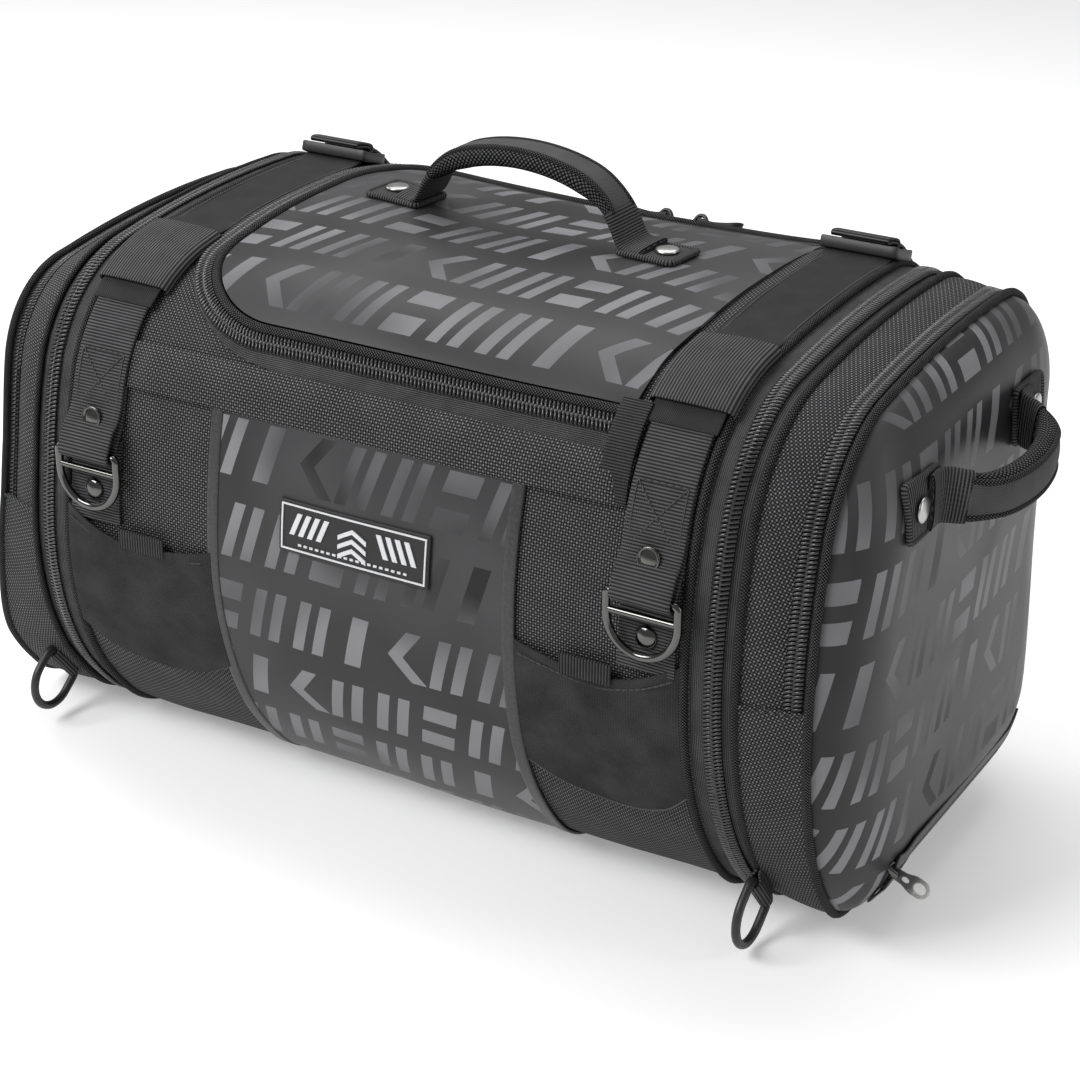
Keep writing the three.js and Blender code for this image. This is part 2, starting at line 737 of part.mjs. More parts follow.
function addLowerRing(end, offset) {
  const inset = taperStart + (offset / taperLength) * (endTaper - taperStart);
  const seat = sectionPoint(lowerTabAngle, -inset + 2 * gap);
  // Drawn with the bar along X and the ring hanging down, then turned so that it hangs outwards.
  const seated = (body) =>
    body
      .rotate([0, 0, 90])
      .rotate([-90 - seat.facing, 0, 0])
      .translate([gussetStart + offset, seat.y, seat.z]);
  const half = lowerTabWidth / 2;
  const bore = lowerWireRadius + gap;
  const bar = (r, h) => solid(rod([-h, 0, -lowerTabReach], [h, 0, -lowerTabReach], r, 12));
  const flat = block(-half, half, -lowerTabThickness / 2, lowerTabThickness / 2, 2 - lowerTabReach, 0);
  const tab = join(solid(flat), bar(bore + 1.6, half)).subtract(bar(bore, 2 * half));
  end("lower_tab", seated(tab), webbing);
  const loop = dRing(lowerRingOuterWidth, lowerWireRadius, lowerRingDepth);
  end("lower_ring", seated(loop.translate([0, 0, -lowerTabReach])), blackWire);
}

// The slider lies on the sloping border of the end panel, its length along the border.
function addPocketSlider(end) {
  const inner = domeBorder * (1 - Math.sin(Math.PI / 3));
  const outer = domeBorder * (1 - Math.sin(Math.PI / 6));
  const [low, high] = [domeHeight * Math.cos(Math.PI / 3), domeHeight * Math.cos(Math.PI / 6)];
  const slope = (high - low) / (outer - inner);
  const lift = low + (pocketSliderInside - inner) * slope + pocketSliderLift;
  const seat = sectionPoint(pocketSliderAngle, -domeInset - pocketSliderInside);
  const lean = 0.5 * Math.atan(slope);
  const down = new THREE.Vector3(0, -Math.cos(rad(seat.facing)), Math.sin(rad(seat.facing)));
  const outwards = new THREE.Vector3(Math.cos(lean), 0, 0).addScaledVector(down, Math.sin(lean));
  const along = new THREE.Vector3(1, 0, 0).cross(down).normalize();
  const turn = new THREE.Matrix4()
    .makeBasis(along, outwards.clone().cross(along), outwards)
    .setPosition(rimStart + rimDepth + lift, seat.y, seat.z);
  const seated = (body) => body.transform(turn.toArray());
  end("pocket_slider", seated(sliderBody()), satinSteel);
  const tab = pullTab(pocketPullerLength, pocketPullerWidth, pocketPullerThickness).rotate([0, -90, 0]);
  end("pocket_puller", seated(tab.translate([0, 0, pinHeight])), satinSteel);
}

addBody();
addFront();
addLid();
addTopHandle();
addLidSliders();
addStraps();
addBuckles();
sides.forEach(addEnd);

// The origin is the middle of the footprint box, on the ground.
const box = new THREE.Box3().setFromObject(bag);
bag.position.set(0, -(box.min.y + box.max.y) / 2, -box.min.z);

export default bag;
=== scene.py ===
import json
import math
from contextlib import contextmanager
import bpy
import bmesh
import numpy as np
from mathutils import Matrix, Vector


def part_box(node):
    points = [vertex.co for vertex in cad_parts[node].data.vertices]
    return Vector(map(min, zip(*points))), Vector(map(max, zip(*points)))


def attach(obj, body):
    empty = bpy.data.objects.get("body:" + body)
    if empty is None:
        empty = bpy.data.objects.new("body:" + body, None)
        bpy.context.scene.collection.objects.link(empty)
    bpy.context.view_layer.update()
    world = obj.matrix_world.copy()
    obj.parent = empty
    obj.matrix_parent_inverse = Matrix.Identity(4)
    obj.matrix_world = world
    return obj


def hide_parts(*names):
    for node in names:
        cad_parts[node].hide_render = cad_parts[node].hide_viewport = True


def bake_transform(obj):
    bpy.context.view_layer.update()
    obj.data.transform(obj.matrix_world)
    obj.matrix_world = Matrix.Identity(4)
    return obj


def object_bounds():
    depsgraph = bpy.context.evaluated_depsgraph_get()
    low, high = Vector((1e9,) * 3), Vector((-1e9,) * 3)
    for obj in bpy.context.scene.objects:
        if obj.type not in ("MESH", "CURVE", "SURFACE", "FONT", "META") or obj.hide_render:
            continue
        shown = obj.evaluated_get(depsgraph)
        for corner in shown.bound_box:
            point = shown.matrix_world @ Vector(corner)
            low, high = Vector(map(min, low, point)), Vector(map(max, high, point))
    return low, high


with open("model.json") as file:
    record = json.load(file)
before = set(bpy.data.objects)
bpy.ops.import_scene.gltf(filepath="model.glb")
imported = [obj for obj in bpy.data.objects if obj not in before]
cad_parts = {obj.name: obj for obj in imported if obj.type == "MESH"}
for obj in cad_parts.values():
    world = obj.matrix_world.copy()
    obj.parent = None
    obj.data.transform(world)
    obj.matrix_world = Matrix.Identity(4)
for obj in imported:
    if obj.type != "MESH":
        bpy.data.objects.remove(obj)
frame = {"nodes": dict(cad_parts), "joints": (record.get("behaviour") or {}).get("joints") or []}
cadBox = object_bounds()
scene = bpy.context.scene
sides = {"left": -1, "right": 1}
print("frame loaded")

# the bag's cross-section, a chain of tangent arcs with a flat back and a flat bottom
bagPlan = {
    "frontReach": 0.1435,
    "bellyHeight": 0.150,
    "bellyRadius": 0.190,
    "bellyAngle": 42,
    "upperArcs": ((0.300, 16), (0.080, 82), (0.727, 94)),  # radius, angle of the normal where it ends
    "backReach": 0.144,
    "backCorner": 0.058,
    "sampleAngle": 1.5,
    "frontRuns": (-0.19, 0.26, 901),  # where runs are looked up, and in how many steps
    "topRuns": (0.0, 0.42, 841),
    "backRuns": (0.42, 0.72, 901),
    "allRuns": 6001,
}


def traceSection(plan):  # rows of run, y, z and the angle the cloth faces
    low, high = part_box("body_shell")
    shift = (low.y + high.y - plan["backReach"] + plan["frontReach"]) / 2
    rows = [(0.0, -plan["frontReach"], plan["bellyHeight"], 0.0)]

    def turn(radius, to):
        run, y, z, angle = rows[-1]
        a = math.radians(angle)
        middleY, middleZ = y + radius * math.cos(a), z - radius * math.sin(a)
        count = max(2, round((to - angle) / plan["sampleAngle"]))
        for i in range(1, count + 1):
            b = math.radians(angle + (to - angle) * i / count)
            place = (middleY - radius * math.cos(b), middleZ + radius * math.sin(b))
            rows.append((run + radius * (b - a), *place, math.degrees(b)))

    def straight(y, z):
        run, fromY, fromZ, angle = rows[-1]
        rows.append((run + math.hypot(y - fromY, z - fromZ), y, z, angle))

    for radius, to in plan["upperArcs"]:
        turn(radius, to)
    _, y, _, angle = rows[-1]
    turn((plan["backReach"] - y) / (1 + math.cos(math.radians(angle))), 180)
    straight(plan["backReach"], plan["backCorner"])
    turn(plan["backCorner"], 270)
    belly = math.radians(plan["bellyAngle"])
    cornerZ = plan["bellyHeight"] - plan["bellyRadius"] * math.sin(belly)
    cornerY = plan["bellyRadius"] * (1 - math.cos(belly)) - plan["frontReach"]
    frontCorner = cornerZ / (1 - math.sin(belly))
    straight(cornerY + frontCorner * math.cos(belly), 0.0)
    turn(frontCorner, 360 - plan["bellyAngle"])
    turn(plan["bellyRadius"], 360)
    table = np.array(rows)
    table[:, 1] += shift
    table[:, 3] = np.radians(table[:, 3])
    return table


sectionTable = traceSection(bagPlan)
sectionLength = sectionTable[-1, 0]


def sectionAt(run):  # y, z and angle at a run
    s = np.mod(run, sectionLength)
    return tuple(np.interp(s, sectionTable[:, 0], sectionTable[:, i]) for i in (1, 2, 3))


def frontRun(height):  # run along the front face at a height
    runs = np.linspace(*bagPlan["frontRuns"])
    return float(np.interp(height, sectionAt(runs)[1], runs))


def topRun(y):  # run over the top at a depth
    runs = np.linspace(*bagPlan["topRuns"])
    return float(np.interp(y, sectionAt(runs)[0], runs))


def backRun(height):  # run down the flat back at a height
    runs = np.linspace(*bagPlan["backRuns"])
    return float(np.interp(-height, -sectionAt(runs)[1], runs))


def angleRun(degrees):  # run where the section faces an angle, measured from the front
    return float(np.interp(degrees % 360, np.degrees(sectionTable[:, 3]), sectionTable[:, 0]))


def bagPlace(y, z):  # nearest run and height above the cloth of a point
    runs = np.linspace(-0.5 * sectionLength, 0.5 * sectionLength, bagPlan["allRuns"])
    atY, atZ, angle = sectionAt(runs)
    i = np.argmin(np.hypot(atY - y, atZ - z))
    rise = (y - atY[i]) * -math.cos(angle[i]) + (z - atZ[i]) * math.sin(angle[i])
    return float(runs[i]), float(rise)


# how the ends draw in, and how the cloth sags between its seams
endPlan = {
    "gussetStart": 0.2078,
    "gussetInset": 0.0015,
    "gussetEase": 0.004,
    "rimStart": 0.2436,
    "facings": (0, 50, 90, 130, 180, 225, 270, 315, 360),  # degrees round the section from the front
    "right": (0.0118, 0.0085, 0.0045, 0.0055, 0.0120, 0.0190, 0.0190, -0.0060, 0.0118),  # insets there
    "left": (0.0115, 0.0150, 0.0205, 0.0165, 0.0130, 0.0120, 0.0030, -0.0010, 0.0115),
    "cornerEase": 28,  # degrees over which those insets are eased
    "footLean": 0.0110,  # how far the left end leans out at its foot
    "footHeights": (0.185, 0.135),  # where that begins, and how far down it is full
    "footGrowth": 1.2,
    "footSpan": (0.115, 0.205),
    "rimLean": (  # height, and how far the rim leans there
        (0.0, -0.011), (0.05, -0.010), (0.10, 0.002), (0.15, 0.008), (0.20, 0.008), (0.26, 0.003), (0.32, 0.0),
    ),
    "rimLeanSpan": (0.212, 0.262),
    "leanHeights": (-0.06, 0.42, 481),
    "leanEase": 25,
    "heelStart": 0.030,  # the right end's low back corner is pressed round beyond this
    "heelDepth": 0.017,
    "heelSpan": (0.11, 0.25),
    "sag": 0.00045,
    "sagWaves": ((19, 11, 0.7, 1), (-27, 31, 2.1, 1), (58, 43, 0.3, 0.6), (-47, 71, 4.0, 0.5)),
    "sagEnd": (0.184, 0.03),  # where it has faded out, and over what width
    "crownSink": 0.0046,  # the soft top sinks behind its middle
    "crownPlace": (0.03, 0.300),  # x and run where it is deepest
    "crownSize": (0.105, 0.060),
}


def eased(values, window):  # a running mean
    return np.convolve(values, window / window.sum(), "valid")


def roundTable(values):  # a value for every degree round the section, the corners eased
    ease = endPlan["cornerEase"]
    table = np.interp(np.arange(360), endPlan["facings"], values)
    table = eased(np.pad(table, ease, "wrap"), np.hanning(2 * ease + 1))
    return np.append(table, table[0])


rimTables = {name: roundTable(endPlan[name]) for name in sides}


def between(low, high, steps):  # a smooth rise from 0 to 1
    t = np.clip((steps - low) / (high - low), 0, 1)
    return t * t * (3 - 2 * t)


def rimInset(x, angle):
    facing = np.degrees(angle) % 360
    right, left = (np.interp(facing, np.arange(361), rimTables[side]) for side in ("right", "left"))
    return np.where(x > 0, right, left)


def insetAt(x, angle):
    past, ease = np.abs(x) - endPlan["gussetStart"], endPlan["gussetEase"]
    early = np.clip((past + ease) / ease, 0, 1) * endPlan["gussetInset"]
    share = np.clip(past / (endPlan["rimStart"] - endPlan["gussetStart"]), 0, 1)
    return early + (rimInset(x, angle) - endPlan["gussetInset"]) * share


leanHeights = np.linspace(*endPlan["leanHeights"])
leanTable = np.pad(np.interp(leanHeights, *zip(*endPlan["rimLean"])), endPlan["leanEase"], "edge")
leanTable = eased(leanTable, np.hanning(2 * endPlan["leanEase"] + 1))


def leanAt(x, z):  # the left end's foot leans out, and its rim follows the table
    top, drop = endPlan["footHeights"]
    foot = np.clip((top - z) / drop, 0, 1) ** endPlan["footGrowth"]
    body = -endPlan["footLean"] * between(*endPlan["footSpan"], -x) * foot
    return body + np.interp(z, leanHeights, leanTable) * between(*endPlan["rimLeanSpan"], -x)


def roundHeel(places):  # what passes a slanted plane at the low back corner is pressed back, ever harder
    depth = endPlan["heelDepth"]
    past = np.maximum((places[:, 1] - places[:, 2]) / math.sqrt(2) - endPlan["heelStart"], 0)
    share = between(*endPlan["heelSpan"], places[:, 0])
    move = (past - depth * (1 - np.exp(-past / depth))) * share / math.sqrt(2)
    return places + np.column_stack((0 * move, -move, move))


def sagAt(x, run):
    waves = sum(share * np.sin(a * x + b * run + phase) for a, b, phase, share in endPlan["sagWaves"])
    end, fade = endPlan["sagEnd"]
    hold = np.clip((end - np.abs(x)) / fade, 0, 1)
    (deepX, deepRun), (wide, long) = endPlan["crownPlace"], endPlan["crownSize"]
    crown = np.exp(-(((x - deepX) / wide) ** 4)) * np.exp(-(((run - deepRun) / long) ** 2))
    return endPlan["sag"] * waves * hold - endPlan["crownSink"] * crown


def onBag(points):  # (x, run, height above the cloth) to a place on the bag
    x, run, rise = points.T
    y, z, angle = sectionAt(run)
    out = rise - insetAt(x, angle) + sagAt(x, run)
    return roundHeel(np.column_stack((x + leanAt(x, z), y - out * np.cos(angle), z + out * np.sin(angle))))


def bagSpot(x, run, rise):
    return onBag(np.array([[x, run, rise]]))[0]


def bagFacing(run):
    angle = float(sectionAt(run)[2])
    return (0, -math.cos(angle), math.sin(angle))


# modelling helpers
def clearSelection():
    if bpy.context.object and bpy.context.object.mode != "OBJECT":
        bpy.ops.object.mode_set(mode="OBJECT")
    bpy.ops.object.select_all(action="DESELECT")


def pick(piece):
    clearSelection()
    bpy.context.view_layer.objects.active = piece
    piece.select_set(True)


@contextmanager
def editing(piece, mode="VERT"):  # edit mode with everything selected
    pick(piece)
    bpy.ops.object.mode_set(mode="EDIT")
    bpy.ops.mesh.select_mode(type=mode)
    bpy.ops.mesh.select_all(action="SELECT")
    yield
    bpy.ops.object.mode_set(mode="OBJECT")


def chooseFaces(piece, test):  # select only the faces whose centres and normals pass
    bpy.ops.mesh.select_all(action="DESELECT")
    shape = bmesh.from_edit_mesh(piece.data)
    centres = np.array([face.calc_center_median()[:] for face in shape.faces])
    normals = np.array([face.normal[:] for face in shape.faces])
    for face, chosen in zip(shape.faces, test(centres, normals)):
        face.select = bool(chosen)
    bmesh.update_edit_mesh(piece.data)


def nameIt(name):
    piece = bpy.context.object
    piece.name = name
    piece.data.name = name
    return piece


def placesOf(piece):
    places = np.zeros(len(piece.data.vertices) * 3)
    piece.data.vertices.foreach_get("co", places)
    return places.reshape(-1, 3)


def moveTo(piece, places):
    piece.data.vertices.foreach_set("co", np.ascontiguousarray(places).ravel())
    piece.data.update()


def reshape(piece, change):
    moveTo(piece, change(placesOf(piece)))
    return piece


def raised(p, amount):  # the same places, higher above the cloth
    q = p.copy()
    q[:, 2] += amount
    return q


def applied(piece, kind, **settings):  # add one modifier and apply it
    modifier = piece.modifiers.new(kind.lower(), kind)
    for key, value in settings.items():
        setattr(modifier, key, value)
    pick(piece)
    bpy.ops.object.modifier_apply(modifier=modifier.name)
    return piece


def thicken(piece, wall, lining=0):
    while len(piece.data.materials) <= lining:  # the inner face takes its own material only if a slot is there
        piece.data.materials.append(None)
    applied(piece, "SOLIDIFY", thickness=wall, offset=-1.0, material_offset=lining, material_offset_rim=0)


def roundEdges(piece, width, segments=2, angle=40):
    limit = math.radians(angle)
    applied(piece, "BEVEL", width=width, segments=segments, limit_method="ANGLE", angle_limit=limit)


def repeat(piece, count, step):  # a row of copies along Y
    shift = {"use_constant_offset": True, "constant_offset_displace": (0, step, 0)}
    return applied(piece, "ARRAY", count=count, use_relative_offset=False, **shift)


def layUv(piece, places=None):  # the cloth's own metres, before it is laid in place
    flat = placesOf(piece) if places is None else places
    layer = piece.data.uv_layers.active or piece.data.uv_layers.new(name="UVMap")
    corners = np.zeros(len(piece.data.loops), dtype=np.int32)
    piece.data.loops.foreach_get("vertex_index", corners)
    layer.data.foreach_set("uv", np.ascontiguousarray(flat[corners, :2]).ravel())


tightMerge = 0.000002  # for pieces with details finer than the usual merge
capMerge = 0.00001


def weld(piece, merge=0.00002):
    with editing(piece):
        bpy.ops.mesh.remove_doubles(threshold=merge)
    return piece


def closeUp(piece, merge=0.00002):
    with editing(piece):
        bpy.ops.mesh.remove_doubles(threshold=merge)
        bpy.ops.mesh.normals_make_consistent(inside=False)
    return piece


def capEnds(piece):
    with editing(piece, "EDGE"):
        bpy.ops.mesh.remove_doubles(threshold=capMerge)
        bpy.ops.mesh.fill_holes(sides=0)
    return piece


def smooth(piece, angle=50):
    pick(piece)
    bpy.ops.object.shade_smooth_by_angle(angle=math.radians(angle))


def finish(piece, angle=50, merge=0.00002):
    smooth(closeUp(piece, merge), angle)
    return piece


def flatSheet(name, x0, x1, y0, y1, across, along):
    clearSelection()
    middle = ((x0 + x1) / 2, (y0 + y1) / 2, 0)
    bpy.ops.mesh.primitive_grid_add(x_subdivisions=across, y_subdivisions=along, size=1, location=middle)
    piece = nameIt(name)
    piece.scale = (x1 - x0, y1 - y0, 1)
    bpy.ops.object.transform_apply(location=True, rotation=False, scale=True)
    return piece


def flatStrip(name, x0, x1, y0, y1, wall, cell=0.004, base=0.0, edge=0.0):
    across = max(2, round((x1 - x0) / cell))
    along = max(2, round((y1 - y0) / cell))
    strip = flatSheet(name, x0, x1, y0, y1, across, along)
    layUv(strip)
    reshape(strip, lambda p: raised(p, base + wall))
    thicken(strip, wall)
    if edge:
        roundEdges(strip, edge)
    return strip


def roundCord(name, radius, length, sides=10, cell=0.003, closed=False):  # along Y, its map in metres
    cord = flatSheet(name, 0, 2 * math.pi * radius, 0, length, sides, max(2, round(length / cell)))
    layUv(cord)

    def roll(p):
        turn = p[:, 0] / radius
        return np.column_stack((radius * np.sin(turn), p[:, 1], radius * np.cos(turn)))

    reshape(cord, roll)
    return cord if closed else capEnds(cord)


def copyOf(piece, name):
    twin = piece.copy()
    twin.data = piece.data.copy()
    twin.name = name
    twin.data.name = name
    scene.collection.objects.link(twin)
    return twin


def joinUp(name, pieces):
    pick(pieces[0])
    for piece in pieces[1:]:
        piece.select_set(True)
    bpy.ops.object.join()
    return nameIt(name)


def dress(piece, body, slot, materials, *nodes):  # material, body and the parts it stands for; slot is not used
    faces = piece.data.polygons
    chosen = [face.material_index for face in faces] if isinstance(materials, list) else [0] * len(faces)
    piece.data.materials.clear()
    for material in materials if isinstance(materials, list) else [materials]:
        piece.data.materials.append(material)
    faces.foreach_set("material_index", chosen)
    if body:
        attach(piece, body)
    if nodes:
        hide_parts(*nodes)


def jointOf(name):  # place and axis of a joint
    joint = next(j for j in frame["joints"] if j["name"] == name)
    return np.array(joint["pos_m"]), np.array(joint["axis"])


# lines, and pieces laid along them
lineSamples = 24  # per stretch of a smooth line


def evenLine(line, step):
    line = np.array(line, float)
    lengths = np.concatenate(([0], np.cumsum(np.linalg.norm(np.diff(line, axis=0), axis=1))))
    marks = np.linspace(0, lengths[-1], max(2, round(lengths[-1] / step)) + 1)
    return np.column_stack([np.interp(marks, lengths, line[:, i]) for i in range(line.shape[1])])


def smoothLine(points, step):  # an even run of points on a curve through the given ones
    p = np.array(points, float)
    ends = np.vstack((2 * p[0] - p[1], p, 2 * p[-1] - p[-2]))
    t = np.linspace(0, 1, lineSamples, endpoint=False)[:, None]
    fine = []
    for a, b, c, d in zip(ends, ends[1:], ends[2:], ends[3:]):
        bow, twist = 2 * a - 5 * b + 4 * c - d, 3 * b - a - 3 * c + d
        fine.append(0.5 * (2 * b + (c - a) * t + bow * t**2 + twist * t**3))
    return evenLine(np.vstack(fine + [p[-1:]]), step)


def lineLength(line):
    return float(np.sum(np.linalg.norm(np.diff(line, axis=0), axis=1)))


def alongLine(line, marks):  # places and directions at distances along a line
    lengths = np.concatenate(([0], np.cumsum(np.linalg.norm(np.diff(line, axis=0), axis=1))))
    places = np.column_stack([np.interp(marks, lengths, line[:, i]) for i in range(line.shape[1])])
    headings = np.gradient(line, lengths, axis=0)
    headings = np.column_stack([np.interp(marks, lengths, headings[:, i]) for i in range(line.shape[1])])
    headings /= np.linalg.norm(headings, axis=1)[:, None]
    over = np.clip(marks, 0, lengths[-1])
    return places + headings * (marks - over)[:, None], headings


def onTrack(points, track):  # (across, along, up) to (x, run, up), the track a line of (x, run)
    places, headings = alongLine(track, points[:, 1])
    side = np.column_stack((headings[:, 1], -headings[:, 0]))
    return np.column_stack((places + side * points[:, :1], points[:, 2]))


def onProfile(points, path):  # (across, along, up) to the two measures of a path drawn in a plane
    places, headings = alongLine(path, points[:, 1])
    return places + np.column_stack((-headings[:, 1], headings[:, 0])) * points[:, 2:3]


def onPath(points, path, across):  # (across, along, up) to space, the path a line in space
    places, headings = alongLine(path, points[:, 1])
    side = np.broadcast_to(np.array(across, float), headings.shape)
    up = np.cross(side, headings)
    up /= np.linalg.norm(up, axis=1)[:, None]
    side = np.cross(headings, up)
    return places + side * points[:, :1] + up * points[:, 2:3]


def layOnTrack(piece, track, rise=0.0):
    return reshape(piece, lambda p: onBag(raised(onTrack(p, track), rise)))


# materials, every pattern in real metres on the piece's own map
def maths(tree, operation, *values):
    node = tree.nodes.new("ShaderNodeMath")
    node.operation = operation
    for socket, value in zip(node.inputs, values):
        if isinstance(value, Field):
            tree.links.new(value.socket, socket)
        else:
            socket.default_value = value
    return Field(tree, node.outputs[0])


class Field:  # a value that varies over a material, reckoned with like a number
    def __init__(self, tree, socket):
        self.tree, self.socket = tree, socket

    def via(self, operation, *values):
        return maths(self.tree, operation, self, *values)

    def __add__(self, other):
        return self.via("ADD", other)

    def __sub__(self, other):
        return self.via("SUBTRACT", other)

    def __rsub__(self, other):
        return maths(self.tree, "SUBTRACT", other, self)

    def __mul__(self, other):
        return self.via("MULTIPLY", other)

    def __truediv__(self, other):
        return self.via("DIVIDE", other)

    def __mod__(self, other):
        return self.via("MODULO", other)

    def __pow__(self, other):
        return self.via("POWER", other)

    def __abs__(self):
        return self.via("ABSOLUTE")

    def __lt__(self, other):
        return self.via("LESS_THAN", other)

    def __gt__(self, other):
        return self.via("GREATER_THAN", other)


class Surface:  # a material being made; mapped ones are laid out on the cloth, the rest fill the piece's space
    def __init__(self, name, rough, spec=0.5, metal=0.0, mapped=True):
        self.material = bpy.data.materials.new(name)
        self.material.use_nodes = True
        self.tree = self.material.node_tree
        self.shader = self.tree.nodes["Principled BSDF"].inputs
        self.shader["Roughness"].default_value = rough
        self.shader["Metallic"].default_value = metal
        self.shader["Specular IOR Level"].default_value = spec
        kind, output = ("ShaderNodeUVMap", "UV") if mapped else ("ShaderNodeTexCoord", "Object")
        self.place = self.tree.nodes.new(kind).outputs[output]
        split = self.tree.nodes.new("ShaderNodeSeparateXYZ")
        self.tree.links.new(self.place, split.inputs[0])
        self.u, self.v = (Field(self.tree, split.outputs[i]) for i in (0, 1))

    def grain(self, scale, detail, rough=0.5):
        node = self.tree.nodes.new("ShaderNodeTexNoise")
        for key, value in (("Scale", scale), ("Detail", detail), ("Roughness", rough)):
            node.inputs[key].default_value = value
        self.tree.links.new(self.place, node.inputs["Vector"])
        return Field(self.tree, node.outputs[0])

    def colour(self, tone, low, high, tint=(1.0, 1.0, 1.03)):  # greys, the tone running from low to high
        ramp = self.tree.nodes.new("ShaderNodeValToRGB")
        for element, grey in zip(ramp.color_ramp.elements, (low, high)):
            element.color = (*(grey * t for t in tint), 1)
        self.tree.links.new(tone.socket, ramp.inputs[0])
        self.tree.links.new(ramp.outputs[0], self.shader["Base Color"])

    def relief(self, height, depth, strength):
        node = self.tree.nodes.new("ShaderNodeBump")
        node.inputs["Strength"].default_value = strength
        node.inputs["Distance"].default_value = depth
        self.tree.links.new(height.socket, node.inputs["Height"])
        self.tree.links.new(node.outputs[0], self.shader["Normal"])


def ridges(place, pitch):  # 0 in the groove, 1 on the rib
    return abs((place * (math.pi / pitch)).via("SINE"))


def blend(a, b, share):
    return a * (1 - share) + b * share


def ballisticPattern(cloth, plan):  # a plain weave of thick yarns
    c, s = math.cos(plan["turn"]), math.sin(plan["turn"])
    across, along = cloth.u * c + cloth.v * -s, cloth.u * s + cloth.v * c
    warp, weft = ((place * (math.pi / plan["cell"])).via("SINE") for place in (across, along))
    knots = warp * weft
    return abs(knots) ** 1.5 * (knots.via("SIGN") * 0.30 + 0.70)


def webbingPattern(cloth, plan):  # ribs across the webbing
    run, side = (cloth.v, cloth.u) if plan["along"] else (cloth.u, cloth.v)
    return blend(ridges(run, plan["pitch"]) ** 2.2, ridges(side, plan["thread"]), 0.16)


def twillPattern(cloth, plan):  # slanting ribs
    slant = cloth.u * math.cos(plan["turn"]) + cloth.v * math.sin(plan["turn"])
    return blend(ridges(slant, plan["pitch"]), ridges(cloth.u, plan["pitch"] * 1.3), 0.35)


def tapePattern(cloth, plan):  # a fine herringbone
    zigzag = abs((cloth.u / plan["zigzag"]).via("FRACT") - 0.5)
    slant = cloth.v + zigzag * plan["reach"]
    return blend(ridges(slant, plan["pitch"]), ridges(cloth.u, plan["thread"]), 0.4)


def pipingPattern(cloth, plan):  # the bias-woven cover of a cord
    return (ridges(cloth.u + cloth.v, plan["pitch"]) * ridges(cloth.u - cloth.v, plan["pitch"])) ** 2.0


def makeWoven(name, pattern, plan):
    cloth = Surface(name, plan["rough"], plan["spec"])
    lift = pattern(cloth, plan)
    worn = cloth.grain(plan["wearScale"], 3) * plan["wear"] + plan["fresh"]
    # the colour follows the weave's height, crests lighter than gaps: the yarn pattern, and partly a painted
    # sheen on the crests
    cloth.colour(lift ** plan.get("contrast", 1.0) * worn, plan["low"], plan["high"])
    cloth.relief(lift, plan["depth"], plan["strength"])
    return cloth.material


# low and high are the tones of gaps and crests, the high tone partly a painted sheen
nylonWeave = {
    "cell": 0.00150, "turn": 0.0, "low": 0.000, "high": 0.230, "depth": 0.00040, "strength": 0.9,
    "rough": 0.70, "spec": 0.09, "wearScale": 60, "wear": 0.5, "fresh": 0.75,
}
webbingWeave = {
    "pitch": 0.00165, "thread": 0.0010, "along": True, "low": 0.000, "high": 0.100, "depth": 0.0005,
    "strength": 0.9, "rough": 0.78, "spec": 0.12, "wearScale": 90, "wear": 0.6, "fresh": 0.7,
}
twillWeave = {
    "pitch": 0.0009, "turn": 0.9, "low": 0.002, "high": 0.040, "depth": 0.0002, "strength": 0.7,
    "rough": 0.80, "spec": 0.12, "wearScale": 70, "wear": 0.7, "fresh": 0.6,
}
tapeWeave = {
    "zigzag": 0.004, "reach": 0.005, "pitch": 0.0009, "thread": 0.0010, "contrast": 3.0,
    "low": 0.000, "high": 0.150, "depth": 0.0002, "strength": 0.7,
    "rough": 0.75, "spec": 0.06, "wearScale": 80, "wear": 1.0, "fresh": 0.5,
}
pipingWeave = {
    "pitch": 0.0017, "low": 0.000, "high": 0.110, "depth": 0.00035, "strength": 0.8,
    "rough": 0.75, "spec": 0.06, "wearScale": 90, "wear": 1.0, "fresh": 0.6,
}
knitPlan = {"row": 0.0009, "loop": 0.0014, "cloud": (34, 4, 0.6), "speck": (1500, 2, 0.7), "high": 0.140}


def makeKnit(name, plan):
    knit = Surface(name, 0.85, 0.12)
    lift = blend(ridges(knit.v, plan["row"]), ridges(knit.u, plan["loop"]), 0.4)
    cloud, speck = knit.grain(*plan["cloud"]), knit.grain(*plan["speck"]) ** 2.0
    tone = blend(lift, cloud, 0.55) * blend(cloud + 0.1, speck, 0.7)
    knit.colour(tone, 0.0, plan["high"], (1.0, 0.985, 0.99))
    knit.relief(blend(lift, cloud, 0.4), 0.00018, 0.6)
    return knit.material


printPlan = {
    "row": 0.045,  # pitch of the rows of marks
    "cap": 0.031,  # height of a mark
    "column": 0.0285,
    "stroke": 0.0070,
    "stagger": 0.0137,
    "slant": 0.30,
    "pairGap": 0.0062,
    "chevron": (0.004, 1.25, 0.0125),  # its middle, slope and half width
    "blocks": (0.0100, 0.0042),  # half width, half gap
    "slab": 0.0050,
    # ground and deepGround are the ground outside and inside the painted reflection, darkMark and mark the
    # print outside and inside it
    "ground": 0.055,
    "deepGround": 0.028,
    "mark": 0.190,
    "darkMark": 0.018,
    # where the painted reflection lies: noise scale, threshold and slope
    "fadeScale": 5.5,
    "fadeStart": 0.37,
    "fadeSlope": 5.0,
    "groundRough": 0.36,
    "markRough": 0.50,
    "skinRough": 0.06,
    "emboss": 0.0013,
}


